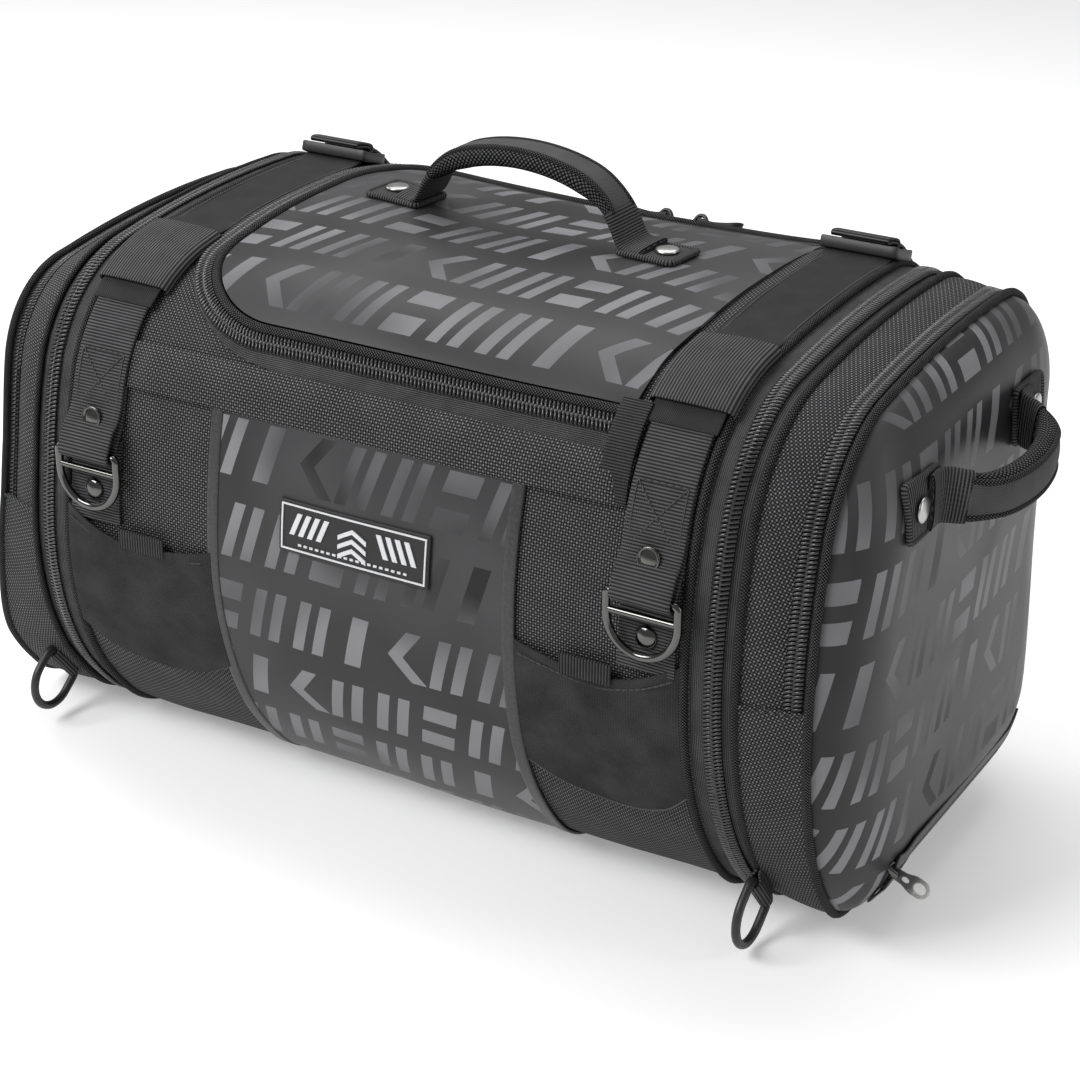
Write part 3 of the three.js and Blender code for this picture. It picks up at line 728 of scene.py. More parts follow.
def makePrinted(name, plan):  # semi-gloss vinyl with a tonal print of slanted bars, chevrons and blocks, and patches of painted reflection
    vinyl = Surface(name, plan["groundRough"], 0.18)
    u, v = vinyl.u, vinyl.v
    row = (v / plan["row"]).via("FLOOR")
    y = ((v / plan["row"]).via("FRACT") - 0.5) * plan["row"]
    columnPlace = (u + row * plan["stagger"]) / plan["column"]
    x = (columnPlace.via("FRACT") - 0.5) * plan["column"]
    kind = ((columnPlace.via("FLOOR") * 3 + row * 5) % 7 + 7) % 7  # a number from 0 to 6 for each mark

    def band(value, width):
        return abs(value) < width

    slanted = x - y * plan["slant"]
    half, gap = plan["stroke"] / 2, plan["pairGap"]
    pair = band(slanted - gap, half).via("MAXIMUM", band(slanted + gap, half))
    middle, slope, halfWidth = plan["chevron"]
    chevron = band(abs(y) - (x + middle) * slope, plan["stroke"] * 0.8) * band(x, halfWidth)
    blocks = band(slanted, plan["blocks"][0]) * (abs(y) > plan["blocks"][1])
    marks = pair
    for shape, number in ((chevron, 2), (blocks, 4), (band(slanted, plan["slab"]), 6)):
        chosen = kind.via("COMPARE", number, 0.6)  # equal to within 0.6, so the whole number itself
        marks = shape * chosen + marks * (1 - chosen)
    marks = marks * band(y, plan["cap"] / 2)

    skin, wear = vinyl.grain(420, 3), vinyl.grain(9, 2) * 0.5 + 0.75
    fade = vinyl.grain(plan["fadeScale"], 2, 0.55)  # painted reflection: in noise patches the print goes from darker to lighter than its ground, and the ground darkens
    fade = ((fade - plan["fadeStart"]) * plan["fadeSlope"]).via("MAXIMUM", 0.0).via("MINIMUM", 1.0)
    ink = fade * (plan["mark"] - plan["darkMark"]) + plan["darkMark"]
    field = plan["ground"] - fade * (plan["ground"] - plan["deepGround"])
    vinyl.colour(wear * field + marks * (wear * (ink - field)), 0.0, 1.0, (1.0, 0.985, 1.03))
    rough = marks * (plan["markRough"] - plan["groundRough"]) + plan["groundRough"] + skin * plan["skinRough"]
    vinyl.tree.links.new(rough.socket, vinyl.shader["Roughness"])
    vinyl.relief(blend(ridges(u * 0.9 + v * 0.5, plan["emboss"]), skin, 0.5), 0.00006, 0.6)
    return vinyl.material


metalPlan = {"scuff": (260, 5, 0.7), "scratches": 0.08, "low": 0.8, "high": 1.15, "tint": (1.0, 0.99, 0.97)}


def makeMetal(name, base, rough):
    plan = metalPlan
    metal = Surface(name, rough, metal=1.0, mapped=False)
    scuff = metal.grain(*plan["scuff"])
    metal.colour(scuff, base * plan["low"], base * plan["high"], plan["tint"])
    shine = scuff * (plan["scratches"] * 2) + (rough - plan["scratches"])
    metal.tree.links.new(shine.socket, metal.shader["Roughness"])
    metal.relief(scuff, 0.00002, 0.25)
    return metal.material


def makeMoulded(name, low, high, rough, fine=700, depth=0.00005, **changes):
    plan = {"spec": 0.45, "detail": 3, "strength": 0.5, "mapped": False, **changes}
    skin = Surface(name, rough, plan["spec"], mapped=plan["mapped"])
    pebble = skin.grain(fine, plan["detail"])
    skin.colour(pebble, low, high)
    skin.relief(pebble, depth, plan["strength"])
    return skin.material


def woven(name, pattern, plan, **changes):
    return makeWoven(name, pattern, {**plan, **changes})


ballistic = woven("ballisticNylon", ballisticPattern, nylonWeave)
ballisticGusset = woven("gussetNylon", ballisticPattern, nylonWeave, turn=0.35)
lining = woven("packClothLining", twillPattern, twillWeave, pitch=0.0016, low=0.03, high=0.07, turn=1.57)
grosgrain = woven("grosgrainWebbing", webbingPattern, webbingWeave)
darkWebbing = woven("darkWebbing", webbingPattern, webbingWeave, high=0.060, along=False)
coverWebbing = woven("coverWebbing", webbingPattern, webbingWeave, pitch=0.0014, high=0.060)
strapTwill = woven("strapTwill", twillPattern, twillWeave)
gripTwill = woven("gripTwill", twillPattern, twillWeave, pitch=0.0008, low=0.010, high=0.100, turn=1.2)
elasticKnit = makeKnit("elasticKnit", knitPlan)
printedVinyl = makePrinted("printedVinyl", printPlan)
plainVinyl = makeMoulded("plainVinyl", 0.010, 0.060, 0.38, 500, 0.00008, spec=0.35, strength=0.6, mapped=True)
coilNylon = makeMoulded("coilNylon", 0.006, 0.030, 0.26, 900, 0.00003, spec=0.55, detail=2, strength=0.4)
zipperTape = woven("zipperTape", tapePattern, tapeWeave)
wovenPiping = woven("wovenPiping", pipingPattern, pipingWeave)
handleKnurl = woven("handleKnurl", pipingPattern, pipingWeave, pitch=0.0027, high=0.120)
thread = makeMoulded("blackThread", 0.010, 0.060, 0.6, 2500)
gunmetal = makeMetal("gunmetal", 0.115, 0.13)
satinSteel = makeMetal("satinSteel", 0.44, 0.30)
paintedWire = makeMoulded("paintedWire", 0.014, 0.026, 0.42, 900, 0.00004)
blackPlastic = makeMoulded("blackPlastic", 0.012, 0.024, 0.45)
blackRubber = makeMoulded("blackRubber", 0.008, 0.016, 0.6, 1200)
paleRubber = makeMoulded("paleRubber", 0.55, 0.66, 0.55, 1200)
stiffBoard = makeMoulded("stiffBoard", 0.02, 0.035, 0.7, 500)
print("materials made")


# camera, lights and floor
camera = {
    "place": (0.68397, -1.10664, 0.75447),
    "heading": (-0.46468, 0.78960, -0.40076),
    "lens": 86.39,
    "shift": (-0.0107, -0.0887),
    "near": 0.05,
}
studio = {  # name: place, what it faces, size, watts
    "topSoftbox": ((-0.25, 0.60, 1.60), (0, 0.05, 0.25), (1.7, 1.2), 20),
    "frontFill": ((-1.0, -1.45, 1.75), (-0.05, 0, 0.18), (1.3, 1.0), 46),
    "rightStrip": ((1.9, 0.35, 0.75), (0.2, 0, 0.2), (0.5, 1.4), 7),
    "leftStrip": ((-1.8, 0.3, 0.9), (-0.2, 0, 0.2), (0.5, 1.4), 9),
}
backdrop = {"grey": 0.80, "glow": 0.27, "world": 0.33, "size": 30, "gap": 0.0004}


def turnedTo(heading):
    return Vector(heading).to_track_quat("-Z", "Y").to_euler()


def addCamera(plan):
    bpy.ops.object.camera_add(location=plan["place"], rotation=turnedTo(plan["heading"]))
    lens = bpy.context.object
    lens.data.lens = plan["lens"]
    lens.data.shift_x, lens.data.shift_y = plan["shift"]
    lens.data.clip_start = plan["near"]
    scene.camera = lens


def addLights(plan):
    for name, (place, aim, size, power) in plan.items():
        bpy.ops.object.light_add(type="AREA", location=place, rotation=turnedTo(Vector(aim) - Vector(place)))
        lamp = bpy.context.object
        lamp.name = name
        lamp.data.shape = "RECTANGLE"
        lamp.data.size, lamp.data.size_y = size
        lamp.data.energy = power


def addFloor(plan):
    world = bpy.data.worlds.new("studioWorld")
    world.use_nodes = True
    sky = world.node_tree.nodes["Background"].inputs
    sky[0].default_value = (1, 1, 1, 1)
    sky[1].default_value = plan["world"]
    scene.world = world
    scene.view_settings.view_transform = "Standard"
    clearSelection()
    bpy.ops.mesh.primitive_plane_add(size=plan["size"], location=(0, 0, cadBox[0].z - plan["gap"]))
    floor = nameIt("studioFloor")
    paint = Surface("paleFloor", 0.7, 0.2)
    paint.shader["Base Color"].default_value = (plan["grey"],) * 3 + (1,)
    paint.shader["Emission Color"].default_value = (1, 1, 1, 1)
    paint.shader["Emission Strength"].default_value = plan["glow"]
    floor.data.materials.append(paint.material)


clearSelection()
addCamera(camera)
addLights(studio)
addFloor(backdrop)
print("studio made")


# the lid's outline and the tracks round it, in the cloth's own metres
lidPlan = {
    "left": -0.134,
    "right": 0.138,
    "front": topRun(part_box("lid_panel")[0].y),
    "back": topRun(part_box("lid_panel")[1].y),
    "corner": 0.060,
    "cornerSteps": 24,
    "bulge": 0.0028,
    "bulgeReach": 0.030,
    "edgeRise": 0.0016,
    "backDip": 0.0022,
    "foldDip": (0.0035, 0.100, 0.038),  # how deep the lid dips towards its fold, from where, over what length
    "ripple": 0.0006,
    "wall": 0.002,
    "cells": (66, 54),
    "foldReach": 0.002,  # how far the panel runs on under the fold
    "backDipStart": 0.55,
    "rollOut": 0.28,  # share of the binding at which the rolled edge lies
    "binding": 0.0042,  # rolled vinyl edge of the lid
    "roll": (0.0024, 0.0030),  # radius and rise of that edge
    "coil": 0.0082,  # middle of the teeth, out from the lid
    "coilRise": 0.0024,
    "tape": (-0.0095, 0.0008),
    "tapeWall": 0.0008,
    "tapeBase": 0.0006,
    "tapeRise": 0.0012,
    "outerTape": (0.0058, 0.0082),  # its width, and what it gains at the front
    "frontSpan": (-0.115, 0.06, 0.25),  # where that begins, over what length, and the last run that is front
    "outerRise": (0.0026, 0.0016, 0.0075),  # rise at the teeth, what it loses, over what width
    "outerWall": 0.0009,
    "opening": 0.0125,
    "hingeGap": 0.0004,
}


def lidLeftEdge(run, margin):
    plan = lidPlan
    r = plan["corner"] + margin
    front, back = plan["front"] + plan["corner"], plan["back"] - plan["corner"]
    beyond = np.maximum(np.maximum(front - run, run - back), 0)
    return plan["left"] + plan["corner"] - np.sqrt(np.maximum(r**2 - np.minimum(beyond, r) ** 2, 0))


def lidTrack(margin, step=0.002):
    plan = lidPlan
    r = plan["corner"] + margin
    x = plan["left"] + plan["corner"]
    front, back = plan["front"] + plan["corner"], plan["back"] - plan["corner"]
    turns = np.linspace(0, math.pi / 2, plan["cornerSteps"])
    line = [(plan["right"], back + r)]
    line += [(x - r * math.sin(a), back + r * math.cos(a)) for a in turns]
    line += [(x - r * math.cos(a), front - r * math.sin(a)) for a in turns]
    line += [(plan["right"], front - r)]
    return evenLine(line, step)


def lidDepthInside(x, run):  # distance in from the lid's edge, over its three zipped sides
    plan = lidPlan
    corner = plan["corner"]
    dx = np.maximum(plan["left"] + corner - x, 0)
    dy = np.maximum(np.maximum(plan["front"] + corner - run, run - (plan["back"] - corner)), 0)
    return corner - np.hypot(dx, dy)


# body cloth, its two long edges meeting under the back of the bottom
bodyPlan = {
    "half": 0.1915,
    "start": -0.236,
    "cell": 0.0042,
    "wall": 0.0024,
    "edgeDip": 0.0016,
    "dipStart": 0.181,
    "outerRim": 0.001,  # rim points this near the sheet's own edges stay there
    "rimStep": 0.0005,
}


def makeBody():
    plan = bodyPlan
    start, end = plan["start"], plan["start"] + sectionLength
    hinge = lidPlan["right"] + lidPlan["hingeGap"]
    across, along = (round(length / plan["cell"]) for length in (2 * plan["half"], sectionLength))
    body = flatSheet("bodyCloth", -plan["half"], plan["half"], start, end, across, along)

    def underLid(centres, _):
        x, run = centres[:, 0], centres[:, 1]
        margin = lidPlan["opening"]
        inside = (x < hinge) & (run > lidPlan["front"] - margin) & (run < lidPlan["back"] + margin)
        return inside & (lidLeftEdge(run, margin) <= x)

    with editing(body, "FACE"):
        chooseFaces(body, underLid)
        bpy.ops.mesh.delete(type="FACE")
    shape = bmesh.new()
    shape.from_mesh(body.data)
    rim = np.array([vertex.index for vertex in shape.verts if vertex.is_boundary])
    shape.free()

    # the opening's rim is drawn onto the lid's track, or onto the fold
    places = placesOf(body)
    fromSides, fromLow, fromHigh = plan["half"] - np.abs(places[:, 0]), places[:, 1] - start, end - places[:, 1]
    fromEdges = np.minimum(fromSides, np.minimum(fromLow, fromHigh))
    track = lidTrack(lidPlan["opening"], plan["rimStep"])
    for i in rim[fromEdges[rim] > plan["outerRim"]]:
        x, run = places[i, :2]
        gaps = np.hypot(track[:, 0] - x, track[:, 1] - run)
        if abs(x - hinge) < gaps.min():
            places[i, 0] = hinge
        else:
            places[i, :2] = track[np.argmin(gaps)]
    moveTo(body, places)
    layUv(body)
    thicken(body, plan["wall"], lining=1)

    def settle(p):
        dip = np.clip((np.abs(p[:, 0]) - plan["dipStart"]) / (plan["half"] - plan["dipStart"]), 0, 1)
        return onBag(raised(p, -plan["edgeDip"] * dip**2))

    reshape(body, settle)
    with editing(body):
        bpy.ops.mesh.normals_make_consistent(inside=False)
    smooth(body)
    dress(body, "bag", "nylon", [ballistic, lining], "body_shell")


makeBody()
print("body cloth made")


# zipper teeth and stitches, each modelled once and repeated
def shortRod(name, sides, radius, length, turn, capAxis, rim, depth):  # a rod with rounded ends
    clearSelection()
    size = {"vertices": sides, "radius": radius, "depth": length}
    bpy.ops.mesh.primitive_cylinder_add(**size, rotation=turn, end_fill_type="NGON")
    rod = nameIt(name)
    bpy.ops.object.transform_apply(location=True, rotation=True, scale=True)
    with editing(rod, "FACE"):
        chooseFaces(rod, lambda centres, normals: np.abs(normals[:, capAxis]) > 0.9)
        bpy.ops.mesh.inset(thickness=radius * rim, depth=radius * depth)
    return rod


coilPlan = {
    "pitch": 0.0023, "tooth": 0.0046, "thick": 0.00100, "slant": 0.30,
    "lift": 0.0011, "drop": 0.0005, "tight": 0.0003,
    "first": 0.25,  # where the first tooth stands, in pitches
    "stagger": 0.5,  # how far one half's teeth stand behind the other's
}


def makeTooth():  # one turn of the coil, lying across the chain
    plan = coilPlan
    tooth = shortRod("coilTooth", 6, plan["thick"], plan["tooth"], (0, math.pi / 2, 0), 0, 0.45, 0.45)

    def curve(p):
        share = np.clip(p[:, 0] / (plan["tooth"] / 2), -1, 1)
        return raised(p, plan["lift"] - plan["drop"] * share**2)

    layUv(reshape(tooth, curve))
    return tooth


tooth = makeTooth()


def halfChain(name, length, side, late):  # one half of a zipper's teeth, along Y
    plan = coilPlan
    chain = copyOf(tooth, name)
    count = int(length / plan["pitch"])
    first = plan["first"] + (plan["stagger"] if late else 0)

    def place(p):
        x = p[:, 0] + side * (plan["tooth"] / 2 - plan["tight"])
        return np.column_stack((x, p[:, 1] + (plan["slant"] * x + plan["pitch"] * first), p[:, 2]))

    return repeat(reshape(chain, place), count, length / count)


stitchPlan = {"thread": 0.00038, "long": 0.0030, "pitch": 0.0037, "bow": 0.9}


def makeStitch():
    plan = stitchPlan
    stitch = shortRod("oneStitch", 5, plan["thread"], plan["long"], (math.pi / 2, 0, 0), 1, 0.5, 0.8)
    reshape(stitch, lambda p: raised(p, -plan["bow"] * plan["thread"] * (p[:, 1] / plan["long"] * 2) ** 2))
    layUv(stitch)
    return stitch


oneStitch = makeStitch()


def stitchRow(track, rise, name="row"):  # stitches along a line of (x, run), lying on the bag
    length = lineLength(track)
    row = copyOf(oneStitch, name)
    count = max(2, int(length / stitchPlan["pitch"]))
    reshape(row, lambda p: p + np.array((0, stitchPlan["pitch"] / 2, 0)))
    return layOnTrack(repeat(row, count, length / count), track, rise)


def crossStitches(name, x, half, low, high, rise):  # a box with a cross, round the place x
    box = [(x - half, low), (x + half, low), (x + half, high), (x - half, high), (x - half, low)]
    lines = list(zip(box, box[1:])) + [(box[0], box[2]), (box[1], box[3])]
    rows = [stitchRow(evenLine(line, 0.002), rise) for line in lines]
    dress(finish(joinUp(name, rows), 60, tightMerge), "bag", "webbing", thread)


# front: vinyl panel, badge, nylon fold, pockets
frontPlan = {
    "half": 0.0945,
    "binding": 0.0072,
    "overlap": 0.001,
    "base": 0.0005,
    "wall": 0.0012,
    "crown": 0.0012,
    "bindingWall": 0.0019,
    "bindingEdge": 0.0007,
    "stitchIn": 0.0052,
    "top": frontRun(0.2345),
    "bottom": angleRun(-74) - sectionLength,
    "foldTop": 0.1095,
    "foldHalf": 0.1835,
    "foldWall": 0.0016,
    "foldBase": 0.0008,
    "foldEdge": 0.0006,
    "foldBulge": 0.0030,
    "foldRipple": 0.0005,
    "puffEnd": (0.1380, 0.1500),  # flat under the straps
    "seamCord": (0.0011, 0.0003, 0.0004),  # radius, rise, and how far below the panel's top it lies
    "badge": (0.046, 0.014),
    "badgeHeight": 0.184,
}


def makeFront():
    plan = frontPlan
    inner = plan["half"] - plan["binding"] + plan["overlap"]
    span = (plan["bottom"], plan["top"])
    panel = flatStrip("frontVinyl", -inner, inner, *span, plan["wall"], 0.005, plan["base"])
    reshape(panel, lambda p: onBag(raised(p, plan["crown"] * np.cos(p[:, 0] / inner * math.pi / 2))))
    dress(finish(panel), "bag", "vinyl", printedVinyl, "front_panel")
    edges, rows = [], []
    for side in (-1, 1):
        x0, x1 = sorted((side * plan["half"], side * (plan["half"] - plan["binding"])))
        edge = flatStrip("edge", x0, x1, *span, plan["bindingWall"], 0.0024, plan["base"], plan["bindingEdge"])
        edges.append(reshape(edge, onBag))
        x = side * (plan["half"] - plan["stitchIn"])
        line = evenLine([(x, plan["bottom"]), (x, plan["top"])], 0.003)
        rows.append(stitchRow(line, plan["base"] + plan["bindingWall"]))
    dress(finish(joinUp("frontVinylEdges", edges)), "bag", "vinyl", plainVinyl)
    dress(finish(joinUp("frontVinylStitches", rows)), "bag", "webbing", thread)

    low, high, half = plan["top"] - plan["overlap"], plan["foldTop"], plan["foldHalf"]
    wall, base, edge = plan["foldWall"], plan["foldBase"], plan["foldEdge"]
    fold = flatStrip("frontFold", -half, half, low, high, wall, 0.0028, base, edge)

    def puff(p):
        x = p[:, 0]
        share = np.clip((p[:, 1] - plan["top"]) / (plan["foldTop"] - plan["top"]), 0, 1)
        rise = p[:, 2] + plan["foldBulge"] * np.sin(math.pi * np.clip(share * 0.93 + 0.07, 0, 1)) ** 0.7
        rise = rise + plan["foldRipple"] * np.sin(x * 95 + 3 * np.sin(x * 23)) * share
        flat = between(*plan["puffEnd"], np.abs(x))
        rise = rise * (1 - flat) + np.minimum(rise, p[:, 2] * 0.9) * flat
        return onBag(np.column_stack((p[:, :2], rise)))

    dress(finish(reshape(fold, puff)), "bag", "nylon", ballistic)
    radius, rise, below = plan["seamCord"]
    seam = roundCord("frontSeamCord", radius, 2 * half, 8, 0.004)
    run = plan["top"] - below
    reshape(seam, lambda p: onBag(np.column_stack((p[:, 1] - half, run + 0 * p[:, 0], p[:, 2] + rise))))
    dress(finish(seam), "bag", "nylon", thread)


makeFront()

badgePlan = {
    "wall": 0.0026, "base": 0.0018, "round": 0.0007,
    "border": 0.0009, "borderIn": 0.0022, "lift": 0.0006, "sunk": 0.0003,
    "bars": (4, 0.0182, 0.0056, 0.0022, 0.0030, 0.0118, 0.42),  # count, first, pitch, y, width, height, lean
    "chevrons": (3, 0.0042, 0.0062, 0.0050, 0.0088, 0.0024, 0.55),  # count, x, first, pitch, size, bend
    "dots": (19, -0.0324, 0.0036, -0.0086, 0.0020, 0.0011),  # count, first, pitch, y, width, height
}


def makeBadge():  # raised border with a row of chevrons between slanted bars
    plan = badgePlan
    half, tall = frontPlan["badge"]
    run = frontRun(frontPlan["badgeHeight"])
    top = plan["base"] + plan["wall"]
    plate = flatSheet("badgePlate", -half, half, -tall, tall, 24, 10)
    layUv(plate)
    reshape(plate, lambda p: raised(p, top))
    thicken(plate, plan["wall"])
    roundEdges(plate, plan["round"], 3)
    raisedMarks = []

    def addMark(x, y, width, height, lean=0.0, bend=0.0):
        mark = flatSheet("bar", x - width / 2, x + width / 2, y - height / 2, y + height / 2, 2, 3)
        lift = top + plan["lift"]
        reshape(mark, lambda p: raised(p, lift) + np.column_stack((lean * (p[:, 1] - y), 0 * p[:, :2])))
        layUv(mark)
        thicken(mark, plan["lift"] + plan["sunk"])
        if bend:
            reshape(mark, lambda p: p - np.column_stack((0 * p[:, 0], bend * np.abs(p[:, 0]), 0 * p[:, 0])))
        raisedMarks.append(mark)

    inX, inY, w = half - plan["borderIn"], tall - plan["borderIn"], plan["border"]
    for side in (1, -1):
        addMark(0, side * inY, 2 * inX + w, w)
    for side in (1, -1):
        addMark(side * inX, 0, w, 2 * inY - w)
    count, first, pitch, y, width, height, lean = plan["bars"]
    for i in range(count):
        for side in (-1, 1):
            addMark(side * (first + pitch * i), y, width, height, -side * lean)
    count, x, first, pitch, width, height, bend = plan["chevrons"]
    for i in range(count):
        for side in (-1, 1):
            addMark(side * x, first - pitch * i, width, height, 0.0, bend)
    count, first, pitch, y, width, height = plan["dots"]
    for i in range(count):
        addMark(first + pitch * i, y, width, height)
    marks = joinUp("badgeMarks", raisedMarks)
    for piece in (plate, marks):
        reshape(piece, lambda p: onBag(p + np.array((0, run, 0))))
    dress(finish(plate, 40), "bag", "patch", blackRubber, "badge_patch")
    dress(finish(marks, 40, tightMerge), "bag", "patch", paleRubber)


makeBadge()

pocketPlan = {
    "inner": 0.0925,
    "outer": 0.1860,
    "cells": 34,
    "base": 0.0004,
    "wall": 0.0011,
    "mouth": 0.0026,
    "belly": 0.0016,
    "wrinkle": 0.00022,
    "hem": 0.0055,
    "hemLift": 0.0005,
    "tall": 0.08,
    "topHeights": ((0.092, 0.1560), (0.110, 0.1520), (0.140, 0.1480), (0.165, 0.1530), (0.187, 0.1640)),
    "bottomHeights": ((0.092, 0.0835), (0.115, 0.0720), (0.145, 0.0675), (0.170, 0.0730), (0.187, 0.0880)),
    "seam": (0.0010, 0.0006),  # radius, and how far below the edge and above the cloth it lies
    "stitchRise": 0.0045,
    "tab": (0.0142, 0.0050, 0.0062, 0.0020),  # half width, below and above its middle, thickness
    "tabHeight": 0.1508,
    "tabRise": 0.0044,
}


def pocketEdge(heights, x):
    fine = smoothLine(heights, 0.002)
    return np.interp(np.abs(x), fine[:, 0], [frontRun(z) for z in fine[:, 1]])


def makePocket(name, sign):
    plan = pocketPlan
    pocket = flatSheet("pocketKnit_" + name, plan["inner"], plan["outer"], 0, 1, plan["cells"], plan["cells"])

    def spread(p):
        x = p[:, 0]
        low, high = pocketEdge(plan["bottomHeights"], x), pocketEdge(plan["topHeights"], x)
        return np.column_stack((x * sign, low + p[:, 1] * (high - low), p[:, 2]))

    share = placesOf(pocket)[:, 1]
    reshape(pocket, spread)
    layUv(pocket)
    flat = placesOf(pocket)
    x, run = flat[:, 0], flat[:, 1]
    across = (np.abs(x) - plan["inner"]) / (plan["outer"] - plan["inner"])
    puff = np.sin(math.pi * np.clip(across, 0, 1)) ** 0.6
    wrinkle = np.sin(x * 160 + run * 120) * 0.5 + np.sin(run * 210 - x * 60 * sign + 1) * 0.5
    atHem = share > 1 - plan["hem"] / plan["tall"]
    rise = plan["base"] + plan["wall"] + plan["mouth"] * puff * share**2
    rise += plan["belly"] * puff * np.sin(math.pi * share)
    flat[:, 2] = rise + (plan["wrinkle"] * wrinkle * puff + plan["hemLift"] * atHem * puff)
    moveTo(pocket, flat)
    thicken(pocket, plan["wall"])
    reshape(pocket, onBag)
    dress(finish(pocket), "bag", "elastic", elasticKnit, "pocket_" + name)

    x = np.linspace(plan["inner"], plan["outer"], 40)
    radius, gap = plan["seam"]
    seam = roundCord("pocketSeam_" + name, radius, 1, 8, 0.02)
    line = evenLine(np.column_stack((x * sign, pocketEdge(plan["bottomHeights"], x) - gap)), 0.003)
    reshape(seam, lambda p: p * np.array((1, lineLength(line), 1)))
    dress(finish(layOnTrack(seam, line, gap)), "bag", "nylon", thread)
    x = x[2:-1]
    hemLine = evenLine(np.column_stack((x * sign, pocketEdge(plan["topHeights"], x) - plan["hem"])), 0.003)
    stitches = stitchRow(hemLine, plan["stitchRise"], "pocketStitches_" + name)
    dress(finish(stitches), "bag", "webbing", thread)

    tabLow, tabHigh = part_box("pocket_tab_" + name)
    place = np.array(((tabLow.x + tabHigh.x) / 2, frontRun(plan["tabHeight"]), plan["tabRise"]))
    half, below, above, wall = plan["tab"]
    tab = flatStrip("pocketTab_" + name, -half, half, -below, above, wall, 0.0024, 0, 0.0006)
    reshape(tab, lambda p: onBag(p + place))
    dress(finish(tab), "bag", "webbing", darkWebbing, "pocket_tab_" + name)


for name, sign in sides.items():
    makePocket(name, sign)
print("front made")


# lid: printed vinyl, its rolled edge and its zipper
def makeLid():
    plan = lidPlan
    panel = flatSheet("lidVinyl", 0, 1, 0, 1, *plan["cells"])
    edge = plan["binding"] * 0.5
    share = placesOf(panel)
    front, back = plan["front"] + edge, plan["back"] - edge
    run = front + (back - front) * (1 - np.cos(math.pi * share[:, 1])) / 2
    left = lidLeftEdge(run, -edge)
    x = left + (1 - np.cos(share[:, 0] * math.pi / 2)) * (plan["right"] + plan["foldReach"] - left)
    inside = np.maximum(lidDepthInside(x, run), 0)
    dip, dipStart, dipLength = plan["foldDip"]
    rise = plan["edgeRise"] + plan["wall"] + plan["bulge"] * (1 - np.exp(-inside / plan["bulgeReach"]))
    rise -= dip * np.clip((x - dipStart) / dipLength, 0, 1) ** 1.5 * np.clip(inside / 0.02, 0, 1)
    rise += plan["ripple"] * np.sin(x * 34 + run * 21) * np.clip(inside / 0.03, 0, 1)
    toBack = (share[:, 1] - plan["backDipStart"]) / (1 - plan["backDipStart"])
    rise -= plan["backDip"] * np.clip(toBack, 0, 1) ** 1.3
    moveTo(panel, np.column_stack((x, run, rise)))
    layUv(panel)
    thicken(panel, plan["wall"], lining=1)
    dress(finish(reshape(panel, onBag)), "lid", "vinyl", [printedVinyl, lining], "lid_panel")

    track = lidTrack(plan["binding"] * plan["rollOut"])
    length = lineLength(track)
    radius, rise = plan["roll"]
    roll = layOnTrack(roundCord("lidRolledEdge", radius, length), track, rise)
    dress(finish(roll), "lid", "webbing", wovenPiping)

    coilTrack = lidTrack(plan["coil"])
    full = lineLength(coilTrack)
    tape = flatStrip("lidTapeInner", *plan["tape"], 0, length, plan["tapeWall"], 0.0022, plan["tapeBase"])
    reshape(tape, lambda p: p * np.array((1, full / length, 1)))
    dress(finish(layOnTrack(tape, coilTrack, plan["tapeRise"])), "lid", "coil", zipperTape)
    for label, side, body in (("Inner", -1, "lid"), ("Outer", 1, "bag")):
        chain = layOnTrack(halfChain("lidCoil" + label, full, side, side > 0), coilTrack, plan["coilRise"])
        dress(finish(chain, 60, tightMerge), body, "coil", coilNylon)
    outer = flatSheet("lidTapeOuter", 0, 1, 0, full, 5, round(full / 0.003))

    def widen(p):  # wider along the front, where the fold covers it
        places, _ = alongLine(coilTrack, p[:, 1])
        (start, span, lastRun), (width, more) = plan["frontSpan"], plan["outerTape"]
        atFront = np.clip((places[:, 0] - start) / span, 0, 1) * (places[:, 1] < lastRun)
        return p * np.column_stack((width + more * atFront, np.ones((len(p), 2))))

    layUv(reshape(outer, widen))
    top, loss, width = plan["outerRise"]
    reshape(outer, lambda p: raised(p, top - loss * np.clip(p[:, 0] / width, 0, 1)))
    thicken(outer, plan["outerWall"])
    dress(finish(layOnTrack(outer, coilTrack)), "bag", "coil", zipperTape, "lid_zipper")


makeLid()

coverPlan = {
    "x": (0.1335, 0.1500), "bottom": frontRun(0.2345), "top": frontRun(0.2745),
    "wall": 0.0013, "edge": 0.0005, "base": 0.0012, "rise": 0.0042,
}


def makeCover():  # nylon flap where the lid's zipper ends
    plan = coverPlan
    low, high = plan["bottom"], plan["top"]
    flap = flatStrip("zipperCover", *plan["x"], low, high, plan["wall"], 0.0025, 0, plan["edge"])

    def place(p):
        share = np.clip((p[:, 1] - low) / (high - low), 0, 1)
        return onBag(raised(p, plan["base"] + plan["rise"] * np.sin(share * 2.2) ** 0.8))

    dress(finish(reshape(flap, place)), "bag", "nylon", coverWebbing, "zipper_cover")


makeCover()
print("lid made")


# ribbons, wires and turned pieces
def ribbon(name, width, path, wall, cell=0.0024, edge=0.0004):  # flat webbing of the length of its path
    length = lineLength(path)
    cells = (max(4, round(width / 0.004)), max(3, round(length / cell)))
    strip = flatSheet(name, -width / 2, width / 2, 0, length, *cells)
    layUv(strip)
    reshape(strip, lambda p: raised(p, wall / 2))
    thicken(strip, wall)
    roundEdges(strip, edge)
    return strip


def layRibbon(piece, path, x):  # the path is a line of (run, rise) at one place across the bag
    return reshape(piece, lambda p: onBag(np.column_stack((p[:, 0] + x, onProfile(p, path)))))


def wire(name, radius, path, across, closed=False):
    cord = roundCord(name, radius, lineLength(path), 14, 0.0015, closed)
    return reshape(cord, lambda p: onPath(p, path, across))


